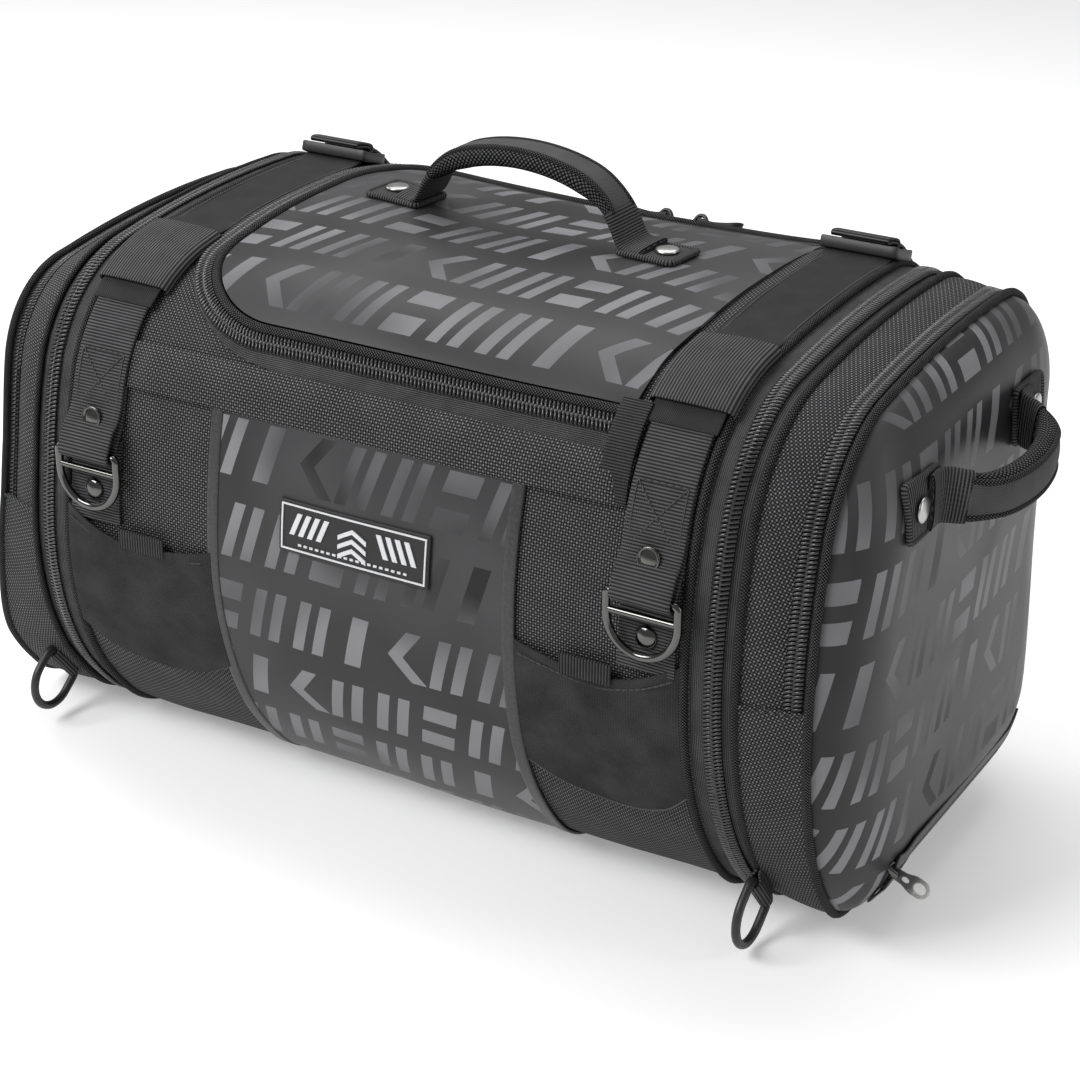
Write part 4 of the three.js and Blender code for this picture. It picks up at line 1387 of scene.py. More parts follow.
def addRivet(name, profile, place, facing, body, material, slot, node):  # turned, built up ring by ring
    clearSelection()
    bpy.ops.mesh.primitive_circle_add(vertices=28, radius=profile[0][0], fill_type="NGON", location=(0, 0, 0))
    rivet = nameIt(name)
    with editing(rivet):
        bpy.ops.transform.translate(value=(0, 0, profile[0][1]))
        for (radius, height), (nextRadius, nextHeight) in zip(profile, profile[1:]):
            bpy.ops.mesh.extrude_region_move(TRANSFORM_OT_translate={"value": (0, 0, nextHeight - height)})
            share = nextRadius / radius
            bpy.ops.transform.resize(value=(share, share, 1))
    layUv(rivet)
    up = Vector(facing).normalized()
    side = Vector((0, 1, 0) if abs(up.x) > 0.9 else (1, 0, 0))
    side = (side - side.project(up)).normalized()
    reshape(rivet, lambda p: p @ np.array([side, up.cross(side), up]) + np.array(place))
    dress(finish(rivet, 60), body, slot, material, node)


rivetRim = (0.0030, -0.0004)
rivetPlan = {  # radius and height, ring by ring
    "domed": (
        rivetRim, (0.0060, 0), (0.0060, 0.0006), (0.0056, 0.0013), (0.0046, 0.0020), (0.0030, 0.0026),
        (0.0012, 0.0029), (0.0003, 0.0030),
    ),
    "ringed": (
        rivetRim, (0.0062, 0), (0.0063, 0.0007), (0.0060, 0.0014), (0.0054, 0.0016), (0.0048, 0.0012),
        (0.0044, 0.0006), (0.0030, 0.0009), (0.0010, 0.0011), (0.0003, 0.0011),
    ),
    "capped": (
        rivetRim, (0.0064, 0), (0.0066, 0.0005), (0.0062, 0.0011), (0.0048, 0.0015), (0.0026, 0.0018),
        (0.0008, 0.0019), (0.0003, 0.0019),
    ),
}

# front straps: places along the front are heights, turned into runs
strapPlan = {
    "webbing": 0.033,
    "webbingWall": 0.0019,
    "stitchIn": 0.003,
    "belowRing": ((0.2505, 0.0012), (0.232, 0.0012), (0.216, 0.0016), (0.2085, 0.0034)),  # height, rise
    "aboveRing": (
        (0.2090, 0.0098), (0.2140, 0.0062), (0.2220, 0.0041), (0.2360, 0.0036),
        (0.2500, 0.0034), (0.2600, 0.0031), (0.2760, 0.0030), (0.2850, 0.0030),
    ),
    "lowerWeb": ((0.157, 0.0016), (0.175, 0.0018), (0.192, 0.0016), (0.204, 0.0006)),
    "boxStitch": (0.2185, 0.2480),
    "boxRise": 0.0051,
    "strap": 0.038,
    "strapWall": 0.0013,
    "strapStart": 0.2690,
    "underBuckle": 0.006,
    "strapStitch": (0.0022, 0.006, 0.010, 0.0024),  # in from the edge, from each end, rise
    "strapOverTop": ((0.35, 0.55, 0.75, 0.9), 0.0009, 0.0007),  # shares of the way, rise, more behind
    "keeper": (0.276, 0.2915),
    "keeperHalf": 0.0207,
    "keeperRise": 0.0062,
    "keeperWall": 0.0013,
    "ringWire": 0.0022,
    "barWire": 0.0018,
    "barDrop": 0.010,
    "ringHalf": 0.0193,
    "gap": 0.0004,
    "rivets": (("upper", 0.214, 0.001, "ringed", 0.0074), ("lower", 0.1755, 0, "domed", 0.0030)),
}


def ringLine(half, leg, corner, bow):  # a D: straight bar, two legs and a bow, as (across, down)
    side = [(half - corner[0], 0), (half - corner[1], corner[2]), (half, corner[3]), (half, leg)]
    arc = [(half * math.cos(a), leg + half * math.sin(a)) for a in np.linspace(bow, math.pi - bow, 17)]
    return [(0, 0), *side, *arc, *((-a, b) for a, b in reversed(side)), (0, 0)]


def makeStraps(name):
    plan = strapPlan
    ringLow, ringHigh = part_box("front_ring_" + name)
    x = (ringLow.x + ringHigh.x) / 2
    axisY, axisZ = (ringLow.y + ringHigh.y) / 2, ringHigh.z - plan["ringWire"]
    barRun, barRise = bagPlace(axisY, axisZ)
    turn = plan["ringWire"] + plan["gap"] + plan["webbingWall"] / 2
    bends = np.linspace(-0.25, math.pi + 0.25, 9)
    path = [(frontRun(z), rise) for z, rise in plan["belowRing"]]
    path += [(barRun - turn * math.sin(a), barRise - turn * math.cos(a)) for a in bends]
    path = smoothLine(path + [(frontRun(z), rise) for z, rise in plan["aboveRing"]], 0.0012)
    web = layRibbon(ribbon("frontWebbing_" + name, plan["webbing"], path, plan["webbingWall"], 0.0016), path, x)
    dress(finish(web), "bag", "webbing", grosgrain, "front_webbing_" + name)
    low = smoothLine([(frontRun(z), rise) for z, rise in plan["lowerWeb"]], 0.002)
    under = layRibbon(ribbon("lowerWebbing_" + name, plan["webbing"] - 0.001, low, plan["webbingWall"]), low, x)
    dress(finish(under), "bag", "webbing", grosgrain)
    bottom, top = (frontRun(z) for z in plan["boxStitch"])
    half = plan["webbing"] / 2 - plan["stitchIn"]
    crossStitches("boxStitches_" + name, x, half, bottom, top, plan["boxRise"])

    # the keeper's webbing runs across the strap and wraps under both of its edges
    k, r = plan["keeperHalf"], plan["keeperRise"]
    loop = [(-k + 0.003, 0.0008), (-k - 0.0002, 0.0012), (-k - 0.0009, r * 0.5)]
    loop += [(-k + 0.0006, r - 0.0006), (-k + 0.004, r)]
    loop += [(-k / 2, r + 0.0003), (0, r + 0.0005), (k / 2, r + 0.0003)] + [(-a, b) for a, b in reversed(loop)]
    loop = smoothLine(loop, 0.001)
    low, high = (frontRun(z) for z in plan["keeper"])
    around = lineLength(loop)
    keeper = flatSheet("keeper_" + name, low, high, 0, around, 14, round(around / 0.0012))
    layUv(keeper)
    reshape(keeper, lambda p: raised(p, plan["keeperWall"]))
    thicken(keeper, plan["keeperWall"])
    roundEdges(keeper, 0.0005)

    def wrap(p):
        across, rise = onProfile(p, loop).T
        return onBag(np.column_stack((x + across, p[:, 0], rise)))

    dress(finish(reshape(keeper, wrap)), "bag", "webbing", grosgrain, "keeper_" + name)

    # the strap lies on the webbing, passes the keeper and rises to the buckle
    start, end = frontRun(plan["strapStart"]), topRun(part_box("buckle_" + name)[0].y + plan["underBuckle"])
    line = [(start, 0.0046), (start + 0.012, 0.0042), (low + 0.028, 0.0042)]
    line += [(high + 0.004, 0.0030), (high + 0.016, 0.0016)]
    shares, base, more = plan["strapOverTop"]
    line += [(high + (end - high) * t, base + more * t) for t in shares]
    line = smoothLine(line + [(end + 0.002, 0.0042), (end + 0.010, 0.0056)], 0.002)
    strap = layRibbon(ribbon("topStrap_" + name, plan["strap"], line, plan["strapWall"], 0.003), line, x)
    dress(finish(strap), "bag", "webbing", strapTwill, "top_strap_" + name)
    rows = []
    inEdge, fromLow, fromHigh, rise = plan["strapStitch"]
    for side in (-1, 1):
        edge = x + side * (plan["strap"] / 2 - inEdge)
        rows.append(stitchRow(evenLine([(edge, high + fromLow), (edge, end - fromHigh)], 0.004), rise))
    dress(finish(joinUp("strapStitches_" + name, rows), 60, tightMerge), "bag", "webbing", thread)

    for place, height, further, kind, rise in plan["rivets"]:
        run = frontRun(height) + further
        label = "_" + name + "_" + place
        looks = (gunmetal, "black_nickel", "webbing_rivet" + label)
        addRivet("webbingRivet" + label, rivetPlan[kind], bagSpot(x, run, rise), bagFacing(run), "bag", *looks)

    w = plan["ringHalf"]
    leg = axisZ - (ringLow.z + plan["ringWire"]) - w
    ring = ringLine(w, leg, (0.0015, 0.0004, 0.0004, 0.0016), 0.12)
    line = evenLine([(x + a, axisY, axisZ - b) for a, b in ring], 0.0011)
    hoop = wire("ringHoop_" + name, plan["ringWire"], line, (0, 1, 0), True)
    across = np.array([(x + a, axisY, axisZ - plan["barDrop"]) for a in (-w, w)])
    bar = wire("ringBar_" + name, plan["barWire"], across, (0, 1, 0))
    closeUp(hoop, 0.0003)
    closeUp(bar)
    ringPiece = joinUp("frontRing_" + name, [hoop, bar])
    smooth(ringPiece, 60)
    dress(ringPiece, name + "_front_ring", "black_nickel", gunmetal, "front_ring_" + name)


for name in sides:
    makeStraps(name)
print("straps made")

# buckles, with the strap's folded end on top, and the webbing down the back
bucklePlan = {
    "wall": 0.0064, "rail": 0.0036, "lip": 0.0052, "front": 0.0215, "middle": 0.010, "back": -0.0024,
    "slip": -0.0020, "sink": -0.0014,  # from the joint's axis
    "barRadius": 0.0020, "barHalf": 0.0020, "lipRise": 0.0009, "barShare": 0.7, "edge": 0.0011,
    "stackWall": 0.0014, "stackRise": 0.0018,
    "stack": (  # the strap's end, as (along, up)
        (0.0035, 0.0034), (0.0060, 0.0052), (0.0120, 0.0058), (0.0190, 0.0054),
        (0.0214, 0.0042), (0.0206, 0.0032), (0.0170, 0.0034), (0.0120, 0.0038),
        (0.0070, 0.0036), (0.0055, 0.0020), (0.0070, -0.0030), (0.0110, -0.0052),
    ),
    "anchorWall": 0.0018, "anchorEnd": 232, "anchorUnder": 0.10, "anchorRise": 0.0014, "loopGap": 0.0014,
    "anchorBack": ((180, 0.0014), (160, 0.0015), (130, 0.0015)),  # degrees round the section, rise
    "anchorIn": ((0.016, 0.0020), (0.009, 0.0030)),  # from the bar, rise
    "anchorOut": ((0.010, 0.0064), (0.016, 0.0045), (0.026, 0.0036), (0.044, 0.0034)),
    "boxStitch": (0.020, 0.041), "boxRise": 0.0048,
}


def makeBuckle(name):
    plan = bucklePlan
    low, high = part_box("buckle_" + name)
    axis, _ = jointOf(name + "_buckle_bar")
    x, half = (low.x + high.x) / 2, (high.x - low.x) / 2
    run, rise = bagPlace(axis[1], axis[2])
    facing = np.array(bagFacing(run))
    forward = np.array((0, -facing[2], facing[1]))  # towards the front, down the strap
    matrix = np.array([(-1, 0, 0), forward, facing])
    centre = axis + forward * plan["slip"] + facing * plan["sink"]

    inside, lip, bar = half - plan["rail"], plan["front"] - plan["lip"], plan["barHalf"]
    xs = np.array((-half, -inside, 0, inside, half))
    ys = np.array((plan["back"], bar, plan["middle"] - bar, plan["middle"] + bar, lip, plan["front"]))
    plate = flatSheet("buckle_" + name + "_frame", 0, 4, 0, 5, 4, 5)
    with editing(plate, "FACE"):
        chooseFaces(plate, lambda c, _: (c[:, 0] > 1) & (c[:, 0] < 3) & (c[:, 1].astype(int) % 2 == 1))
        bpy.ops.mesh.delete(type="FACE")
    marks = np.round(placesOf(plate)[:, :2]).astype(int)
    moveTo(plate, np.column_stack((xs[marks[:, 0]], ys[marks[:, 1]], np.full(len(marks), plan["wall"] / 2))))
    thicken(plate, plan["wall"])

    def form(p):  # the front lip stands up, the bars sit lower
        q = raised(p, plan["lipRise"] * np.clip((p[:, 1] - lip + 0.0002) / plan["lip"], 0, 1))
        bars = (np.abs(q[:, 0]) < inside + 0.0001) & (q[:, 1] < lip - 0.0001)
        q[bars, 2] *= plan["barShare"]
        return q

    reshape(plate, form)
    roundEdges(plate, plan["edge"], 2, 30)
    layUv(plate)
    reshape(plate, lambda p: p @ matrix + centre)
    dress(finish(plate, 35), name + "_buckle", "plastic", blackPlastic, "buckle_" + name)

    # the strap comes up between the bars, folds over the middle bar and lies back on itself
    line = smoothLine(plan["stack"], 0.0008)
    stack = ribbon("strapEnd_" + name, 2 * inside - 0.004, line, plan["stackWall"], 0.0012, 0.0003)

    def bend(p):
        return raised(np.column_stack((p[:, 0], onProfile(p, line))), plan["stackRise"]) @ matrix + centre

    dress(finish(reshape(stack, bend)), name + "_buckle", "webbing", grosgrain)

    radius = plan["barRadius"] + plan["loopGap"]
    endRun = angleRun(plan["anchorEnd"])
    path = [(endRun, plan["anchorRise"]), (endRun - plan["anchorUnder"], plan["anchorRise"])]
    path += [(angleRun(angle), lift) for angle, lift in plan["anchorBack"]]
    path += [(run + a, lift) for a, lift in plan["anchorIn"]]
    bends = np.linspace(-0.9, -2 * math.pi + 1.6, 9)
    path += [(run + radius * math.cos(a), rise + radius * math.sin(a)) for a in bends]
    path = smoothLine(path + [(run + a, lift) for a, lift in plan["anchorOut"]], 0.0016)
    anchor = ribbon("backWebbing_" + name, strapPlan["webbing"], path, plan["anchorWall"], 0.003)
    dress(finish(layRibbon(anchor, path, x)), "bag", "webbing", grosgrain, "rear_anchor_" + name)
    half = strapPlan["webbing"] / 2 - strapPlan["stitchIn"]
    first, last = (run + a for a in plan["boxStitch"])
    crossStitches("backStitches_" + name, x, half, first, last, plan["boxRise"])


for name in sides:
    makeBuckle(name)
print("buckles made")


# soft bars, sliders and pull tabs
def softBar(name, path, across, halfWidth, halfThick):  # a padded bar, its section changing along it
    sides, cell, square, around = 24, 0.0025, 0.7, 0.05
    length = lineLength(path)
    bar = flatSheet(name, 0, 1, 0, 1, sides, round(length / cell))
    share = placesOf(bar)
    turn = 2 * math.pi * share[:, 0]
    wide, thick = halfWidth(share[:, 1]), halfThick(share[:, 1])
    a = wide * np.sign(np.cos(turn)) * np.abs(np.cos(turn)) ** square
    b = thick * np.sign(np.sin(turn)) * np.abs(np.sin(turn)) ** square
    layUv(bar, np.column_stack((share[:, 0] * around, share[:, 1] * length)))
    moveTo(bar, onPath(np.column_stack((a, share[:, 1] * length, b)), path, across))
    return capEnds(bar)


def surfaceAt(surface, start, heading):
    hit, place, _, _ = surface.ray_cast(Vector(start), Vector(heading))
    if not hit:
        raise SystemExit("nothing under " + surface.name + " at " + str(tuple(start)))
    return np.array(place)


handlePlan = {
    "padLength": 0.036,
    "padWidth": 0.031,
    "padWall": 0.0020,
    "padBase": 0.0006,
    "padCorner": 0.003,
    "padInset": 0.001,
    "hem": (0.0017, 0.0018),  # radius and rise
    "rivet": (0.66, 0.0034),  # share of the pad's length, rise
    "feet": ((0.016, 0.0036), (0.004, 0.0040)),  # where the webbing leaves the pad, and how high
    "archStart": 0.22,
    "archPower": 0.86,
    "archFoot": 0.006,
    "halfWidth": (0.0138, 0.0120, 0.10, 0.24),  # at the feet, in the middle, and the shares where it changes
    "halfThick": (0.0014, 0.0062, 0.10, 0.30),
    "sleeves": ((0.004, 0.172), (0.828, 0.996)),
    "sleeveWidth": 0.0009,
    "sleeveThick": 0.0008,
    "grip": (0.165, 0.835),
    "gripInset": 0.0042,
    "gripWall": 0.0011,
    "gripRise": 0.0008,
    "gripRound": 0.36,
    "cord": 0.0016,
    "cordInset": 0.0034,
    "cordRise": 0.86,
    "fill": 0.7,
    "castFrom": 0.15,
}


def makeHandle(name, body, node, rivets, seat, out, along, across, reach, rise, surface, droop=0.0):
    # seat is the point on the surface between the pads; out leaves the surface
    plan = handlePlan
    seat, out, along, across = (np.array(v, float) for v in (seat, out, along, across))

    def settle(p):  # (along, across, up) to space, each point resting on the surface under it
        places = seat + p[:, :1] * along + p[:, 1:2] * across
        under = np.array([surfaceAt(surface, q + out * plan["castFrom"], -out) for q in places])
        return under + out * p[:, 2:3]

    half, width = plan["padLength"] / 2 - plan["padInset"], plan["padWidth"] / 2 - plan["padInset"]
    corner = plan["padCorner"]
    for side, rivetNode in zip((-1, 1), rivets):
        label = name + ("Near" if side < 0 else "Far")
        centre = side * (reach + plan["padLength"] / 2)
        pad = flatSheet(label + "Pad", -half, half, -width, width, 12, 10)
        layUv(pad, placesOf(pad)[:, [1, 0]])
        reshape(pad, lambda p: p + np.array((centre, 0, plan["padBase"] + plan["padWall"])))
        thicken(pad, plan["padWall"])
        reshape(pad, settle)
        radius, lift = plan["hem"]
        loop = []
        for right, back, first in ((1, 1, 0), (-1, 1, 90), (-1, -1, 180), (1, -1, 270)):
            for turn in np.radians(np.linspace(first, first + 90, 5)):
                a = centre + right * (half - corner) + corner * math.cos(turn)
                loop.append((a, back * (width - corner) + corner * math.sin(turn), lift))
        ring = settle(evenLine(loop + loop[:1], 0.0016))
        hem = roundCord(label + "PadHem", radius, lineLength(ring), 8, 0.0016, True)
        reshape(hem, lambda p: onPath(p, ring, out))
        dress(finish(joinUp(label + "Pad", [pad, hem])), body, "webbing", grosgrain)
        share, lift = plan["rivet"]
        spot = settle(np.array([[side * (reach + share * plan["padLength"]), 0, lift]]))[0]
        addRivet(label + "Rivet", rivetPlan["capped"], spot, out, body, satinSteel, "satin_steel", rivetNode)

    # the webbing leaves each pad, folds round the core and arches over
    feet = np.array([(reach + a, 0, b) for a, b in plan["feet"]])
    nearEnds, farEnds = (list(settle(feet * np.array((side, 1, 1)))) for side in (-1, 1))
    arch = []
    for turn in np.linspace(math.pi - plan["archStart"], plan["archStart"], 17):
        height = plan["archFoot"] + (rise - plan["archFoot"]) * math.sin(turn) ** plan["archPower"]
        arch.append(seat + along * (reach * math.cos(turn)) + out * height - across * droop * math.sin(turn))
    line = smoothLine(nearEnds + arch + farEnds[::-1], 0.0025)
    length = lineLength(line)

    def measure(foot, middle, first, last):  # a width that eases from the feet to the middle
        return lambda s: foot + (middle - foot) * between(first, last, s) * between(first, last, 1 - s)

    wide, thick = measure(*plan["halfWidth"]), measure(*plan["halfThick"])
    core = softBar(name + "Core", line, across, wide, thick)
    dress(finish(core, 60), body, "webbing", handleKnurl, node)
    sleeves = []
    for first, last in plan["sleeves"]:  # webbing folded round the core beside each pad
        part, _ = alongLine(line, np.linspace(first, last, 16) * length)
        sleeves.append(softBar(
            "sleeve", part, across,
            lambda t: wide(first + t * (last - first)) + plan["sleeveWidth"],
            lambda t: thick(first + t * (last - first)) + plan["sleeveThick"],
        ))
    dress(finish(joinUp(name + "Sleeves", sleeves), 60), body, "webbing", grosgrain)

    over = across if np.dot(np.cross(across, along), out) > 0 else -across
    low, high = plan["grip"]
    cells = (8, round(length * (high - low) / 0.0025))
    strip = flatSheet(name + "Grip", -1, 1, low * length, high * length, *cells)

    def overCore(p):
        s = p[:, 1] / length
        a = p[:, 0] * (wide(s) - plan["gripInset"])
        crown = thick(s) * np.clip(1 - (a / wide(s)) ** 2, 0, 1) ** plan["gripRound"]
        return np.column_stack((a, p[:, 1], crown + plan["gripRise"] + p[:, 2]))

    layUv(strip, overCore(placesOf(strip)))
    thicken(strip, plan["gripWall"])
    reshape(strip, lambda p: onPath(overCore(p), line, over))
    dress(finish(strip), body, "webbing", gripTwill)
    cords = []
    for side in (-1, 1):

        def hug(p):
            s = p[:, 1] / length + low
            a = p[:, 0] + side * (wide(s) - plan["cordInset"])
            b = p[:, 2] + thick(s) * plan["cordRise"]
            return onPath(np.column_stack((a, s * length, b)), line, over)

        cords.append(reshape(roundCord("cord", plan["cord"], (high - low) * length, 8, 0.0025), hug))
    dress(finish(joinUp(name + "Piping", cords), 60), body, "webbing", wovenPiping)


topHandlePlan = {"x": -0.003, "back": 0.003, "twist": (0.9985, -0.0548), "inset": 0.002, "drop": 0.006}


def makeTopHandle():
    plan = topHandlePlan
    low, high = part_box("top_handle")
    bpy.context.view_layer.update()
    lid = bpy.data.objects["lidVinyl"]
    c, s = plan["twist"]
    makeHandle(
        "topHandle", "lid", "top_handle", ("top_handle_rivet_left", "top_handle_rivet_right"),
        (plan["x"], (low.y + high.y) / 2 - plan["back"], low.z), (0, 0, 1), (c, s, 0), (-s, c, 0),
        high.x - handlePlan["padLength"] - plan["inset"], high.z - low.z - plan["drop"], lid,
    )


makeTopHandle()
print("top handle made")

sliderPlan = {
    "length": 0.0130, "width": 0.0092, "wall": 0.0014, "rise": 0.0024, "crown": 0.00065,
    "neck": (0.72, 0.28, 0.45),  # width of the narrow end, what it gains, over what share of the length
    "nose": (0.18, 0.7, 0.3),  # what the nose loses, from where, over what share
    "skirt": (0.97, 0.0012, 0.0020),  # its share of the length, rise and thickness
    "bridge": (  # along and up
        (-0.0048, 0.0022), (-0.0042, 0.0044), (-0.0022, 0.0074),
        (0.0008, 0.0077), (0.0034, 0.0046), (0.0042, 0.0022),
    ),
    "bridgeWire": 0.0012,
    "bridgeWide": 1.5,
    "pin": 0.0052,  # rise of the pull tab's pin
}


def seatOn(piece, place, along, out):
    along, out = np.array(along, float), np.array(out, float)
    matrix = np.array([along, np.cross(out, along), out])
    return reshape(piece, lambda p: p @ matrix + np.array(place, float))


def makeSlider(name, place, along, out, body, slot, material, node):
    plan = sliderPlan
    plate = flatSheet("plate", -0.5, 0.5, -0.5, 0.5, 10, 6)

    def outline(p):
        s = p[:, 0] + 0.5
        (narrow, gain, neck), (loss, nose, noseLength) = plan["neck"], plan["nose"]
        wide = narrow + gain * np.clip(s / neck, 0, 1) - loss * np.clip((s - nose) / noseLength, 0, 1) ** 2
        lift = plan["rise"] + plan["crown"] * (1 - (2 * p[:, 1]) ** 2)
        return np.column_stack((p[:, 0] * plan["length"], p[:, 1] * plan["width"] * wide, p[:, 2] + lift))

    reshape(plate, outline)
    thicken(plate, plan["wall"])
    roundEdges(plate, 0.0004)
    share, rise, wall = plan["skirt"]
    skirt = flatSheet("skirt", -0.5, 0.5, -0.5, 0.5, 10, 6)
    reshape(skirt, lambda p: outline(p) * np.array((share, 1, 0)) + np.array((0, 0, rise)))
    thicken(skirt, wall)
    roundEdges(skirt, 0.0003)
    path = smoothLine([(a, 0, b) for a, b in plan["bridge"]], 0.0007)
    bridge = roundCord("bridge", plan["bridgeWire"], lineLength(path), 10, 0.0007)
    reshape(bridge, lambda p: onPath(p * np.array((plan["bridgeWide"], 1, 1)), path, (0, 1, 0)))
    slider = joinUp(name, [plate, skirt, bridge])
    layUv(slider)
    dress(finish(seatOn(slider, place, along, out), 45), body, slot, material, node)


pullerPlan = {
    "behind": 0.0016,  # how far it reaches behind its pin
    "root": 0.62,  # width there, as a share of the full width
    "rootSpan": (0.30, 0.12),
    "neckSpan": (0.30, 0.62),
    "tip": 0.0004,
    "edge": 0.00025,
}


def makePuller(name, tab, pin, along, out, body, slot, material, node):
    plan = pullerPlan
    length, width, wall, waist = tab["length"], tab["width"], tab["wall"], tab["waist"]
    plate = flatSheet(name, 0, 1, -1, 1, 40, 8)

    def outline(p):
        s, tip = p[:, 0], width / 2 / length
        rounded = np.sqrt(np.clip(1 - np.clip((s - 1 + tip) / tip, 0, 1) ** 2, plan["tip"], 1))
        neck = waist + (1 - waist) * between(*plan["neckSpan"], s)
        neck = neck + (plan["root"] - waist) * between(*plan["rootSpan"], s)
        x = s * (length + plan["behind"]) - plan["behind"]
        return np.column_stack((x, p[:, 1] * width / 2 * neck * rounded, p[:, 2] + wall / 2))

    reshape(plate, outline)
    thicken(plate, wall)
    finish(plate)
    for centre, long, wide in tab["holes"]:
        clearSelection()
        bpy.ops.mesh.primitive_cylinder_add(vertices=24, radius=1, depth=4 * wall, location=(0, 0, 0))
        cutter = nameIt("cutter")
        reshape(cutter, lambda p: p * np.array((long / 2, wide / 2, 1)) + np.array((centre, 0, 0)))
        applied(plate, "BOOLEAN", object=cutter, operation="DIFFERENCE", solver="EXACT")
        bpy.data.objects.remove(cutter)
    roundEdges(plate, plan["edge"], 2, 50)
    layUv(plate)
    reshape(plate, lambda p: raised(p, tab["curl"] * (p[:, 0] / length) ** 2))
    dress(finish(seatOn(plate, pin, along, out), 40, 0.000005), body, slot, material, node)


lidTab = {
    "length": 0.0240, "width": 0.0092, "wall": 0.0019, "waist": 0.62, "curl": 0.0070,
    "holes": ((0.0004, 0.0022, 0.0022), (0.0175, 0.0080, 0.0044)),  # place, length and width of each
    "lean": 14,
    "leanShare": 0.9,
    "sunk": 0.0036,
}


def unit(vector):
    return vector / np.linalg.norm(vector)


def makeLidZip(number, sign):
    tab = lidTab
    pin, _ = jointOf("lid_puller_" + number + "_pin")
    run, rise = bagPlace(pin[1], pin[2])
    out = np.array(bagFacing(run))
    base = bagSpot(pin[0], run, rise - tab["sunk"])
    node = "lid_slider_" + number
    makeSlider("lidSlider_" + number, base, (sign, 0, 0), out, node, "plastic", blackPlastic, node)
    c, s = math.cos(math.radians(tab["lean"])), math.sin(math.radians(tab["lean"])) * tab["leanShare"]
    ahead = np.array((sign, 0, 0))
    node = "lid_puller_" + number
    place = (base + out * sliderPlan["pin"], unit(ahead * c - out * s), unit(out * c + ahead * s))
    makePuller("lidPuller_" + number, tab, *place, node, "plastic", blackRubber, node)


for number, sign in (("1", -1), ("2", 1)):
    makeLidZip(number, sign)
print("lid sliders made")


# ends: expansion zipper, bellows, gusset, zipped flap, domed panel
endLooks = {
    "bodyPiping": 0.1880,
    "innerTape": (0.1897, 0.2014),
    "expansionCoil": 0.2029,
    "outerTape": (0.2044, 0.2130),
    "gussetPiping": 0.2142,
    "gusset": (0.2154, 0.2362),
    "gussetOverlap": 0.03,
    "lowerGusset": (0.2154, 0.2494),
    "seam": (0.0013, 0.0330, 0.0006, 0.0004, 0.0010),  # radius, length, in from each edge, rise
    "endTape": (0.2352, 0.2396),
    "endCoil": 0.2410,
    "flapTape": (0.2424, 0.2474),
    "rimPiping": 0.2492,
    "cord": 0.0023,
    "thinCord": 0.0020,
    "tapeWall": 0.0009,
    "pleats": (0.1902, 0.2076),
    "pleatWall": 0.0006,
    "pleatRise": (-0.0052, 0.0014, 4),  # middle, depth, how many half waves
    "pleatBlend": (0.1925, 0.2070),
    "split": 0.150,
    "flapBlend": (0.2719, 0.135, 0.165),
    "domeStart": (0.2484, 0.0130),
    "domeInsetSpan": 0.044,
    "domeFlat": 0.0120,
    "domeSteps": 15,
    "right": (0.0236, 0.0420),  # how far the panel stands out, and how wide its curved border is
    "left": (0.0150, 0.0440),
    "domeWall": 0.0014,
    "pole": 0.0010,
    "wave": 0.0006,
    "around": 150,
    "inner": 7,
    "divider": ((0.0130, 0.05), (0.2140, 0.2132), 8, -0.0004, 120),  # insets, places across, rings, rise, round
}

seamRun = angleRun(250)
splitFront, splitBack = frontRun(endLooks["split"]), backRun(endLooks["split"])
wholeRound = (seamRun, seamRun + sectionLength)
overTop = (splitFront + sectionLength, splitBack + sectionLength)
underneath = (splitBack, splitFront + sectionLength)


def cordAround(name, x, radius, rise, span, closed):
    track = evenLine([(x, span[0]), (x, span[1])], 0.004)
    return finish(layOnTrack(roundCord(name, radius, lineLength(track), closed=closed), track, rise), 60)


def stripAround(name, edges, span, base, wall, crown):
    low, high = sorted(edges)
    strip = flatStrip(name, low, high, *span, wall, 0.0032, base)

    def place(p):
        return onBag(raised(p, crown * np.sin(math.pi * np.clip((p[:, 0] - low) / (high - low), 0, 1))))

    return finish(reshape(strip, place))


def coilsAround(label, name, sign, x, span, rise, bodies):  # both halves of a zipper round the end
    node = label + "_zipper_" + name
    for half, side, body, nodes in (("Inner", -1, bodies[0], [node]), ("Outer", 1, bodies[1], [])):
        track = evenLine([(sign * x, span[0]), (sign * x, span[1])], 0.0022)
        chain = halfChain(label + "Coil" + half + "_" + name, lineLength(track), side * sign, side > 0)
        dress(finish(layOnTrack(chain, track, rise), 60, tightMerge), body, "coil", coilNylon, *nodes)


def domeProfile(name):  # inset and place across for each ring of the end panel
    height, border = endLooks[name]
    startX, startInset = endLooks["domeStart"]
    if name == "right":
        turn = np.linspace(0, math.pi / 2, endLooks["domeSteps"])
        return startInset + border * (1 - np.cos(turn)), startX + height * np.sin(turn)
    share = np.linspace(0, 1, endLooks["domeSteps"])
    return startInset + border * share, -startX - height * (1 - (1 - share) ** 2)


def domeInset(inset, x, angle):  # the panel's own edge follows the rim
    share = np.clip(1 - (inset - endLooks["domeStart"][1]) / endLooks["domeInsetSpan"], 0, 1)
    return inset + (rimInset(x, angle) - endLooks["domeFlat"]) * share


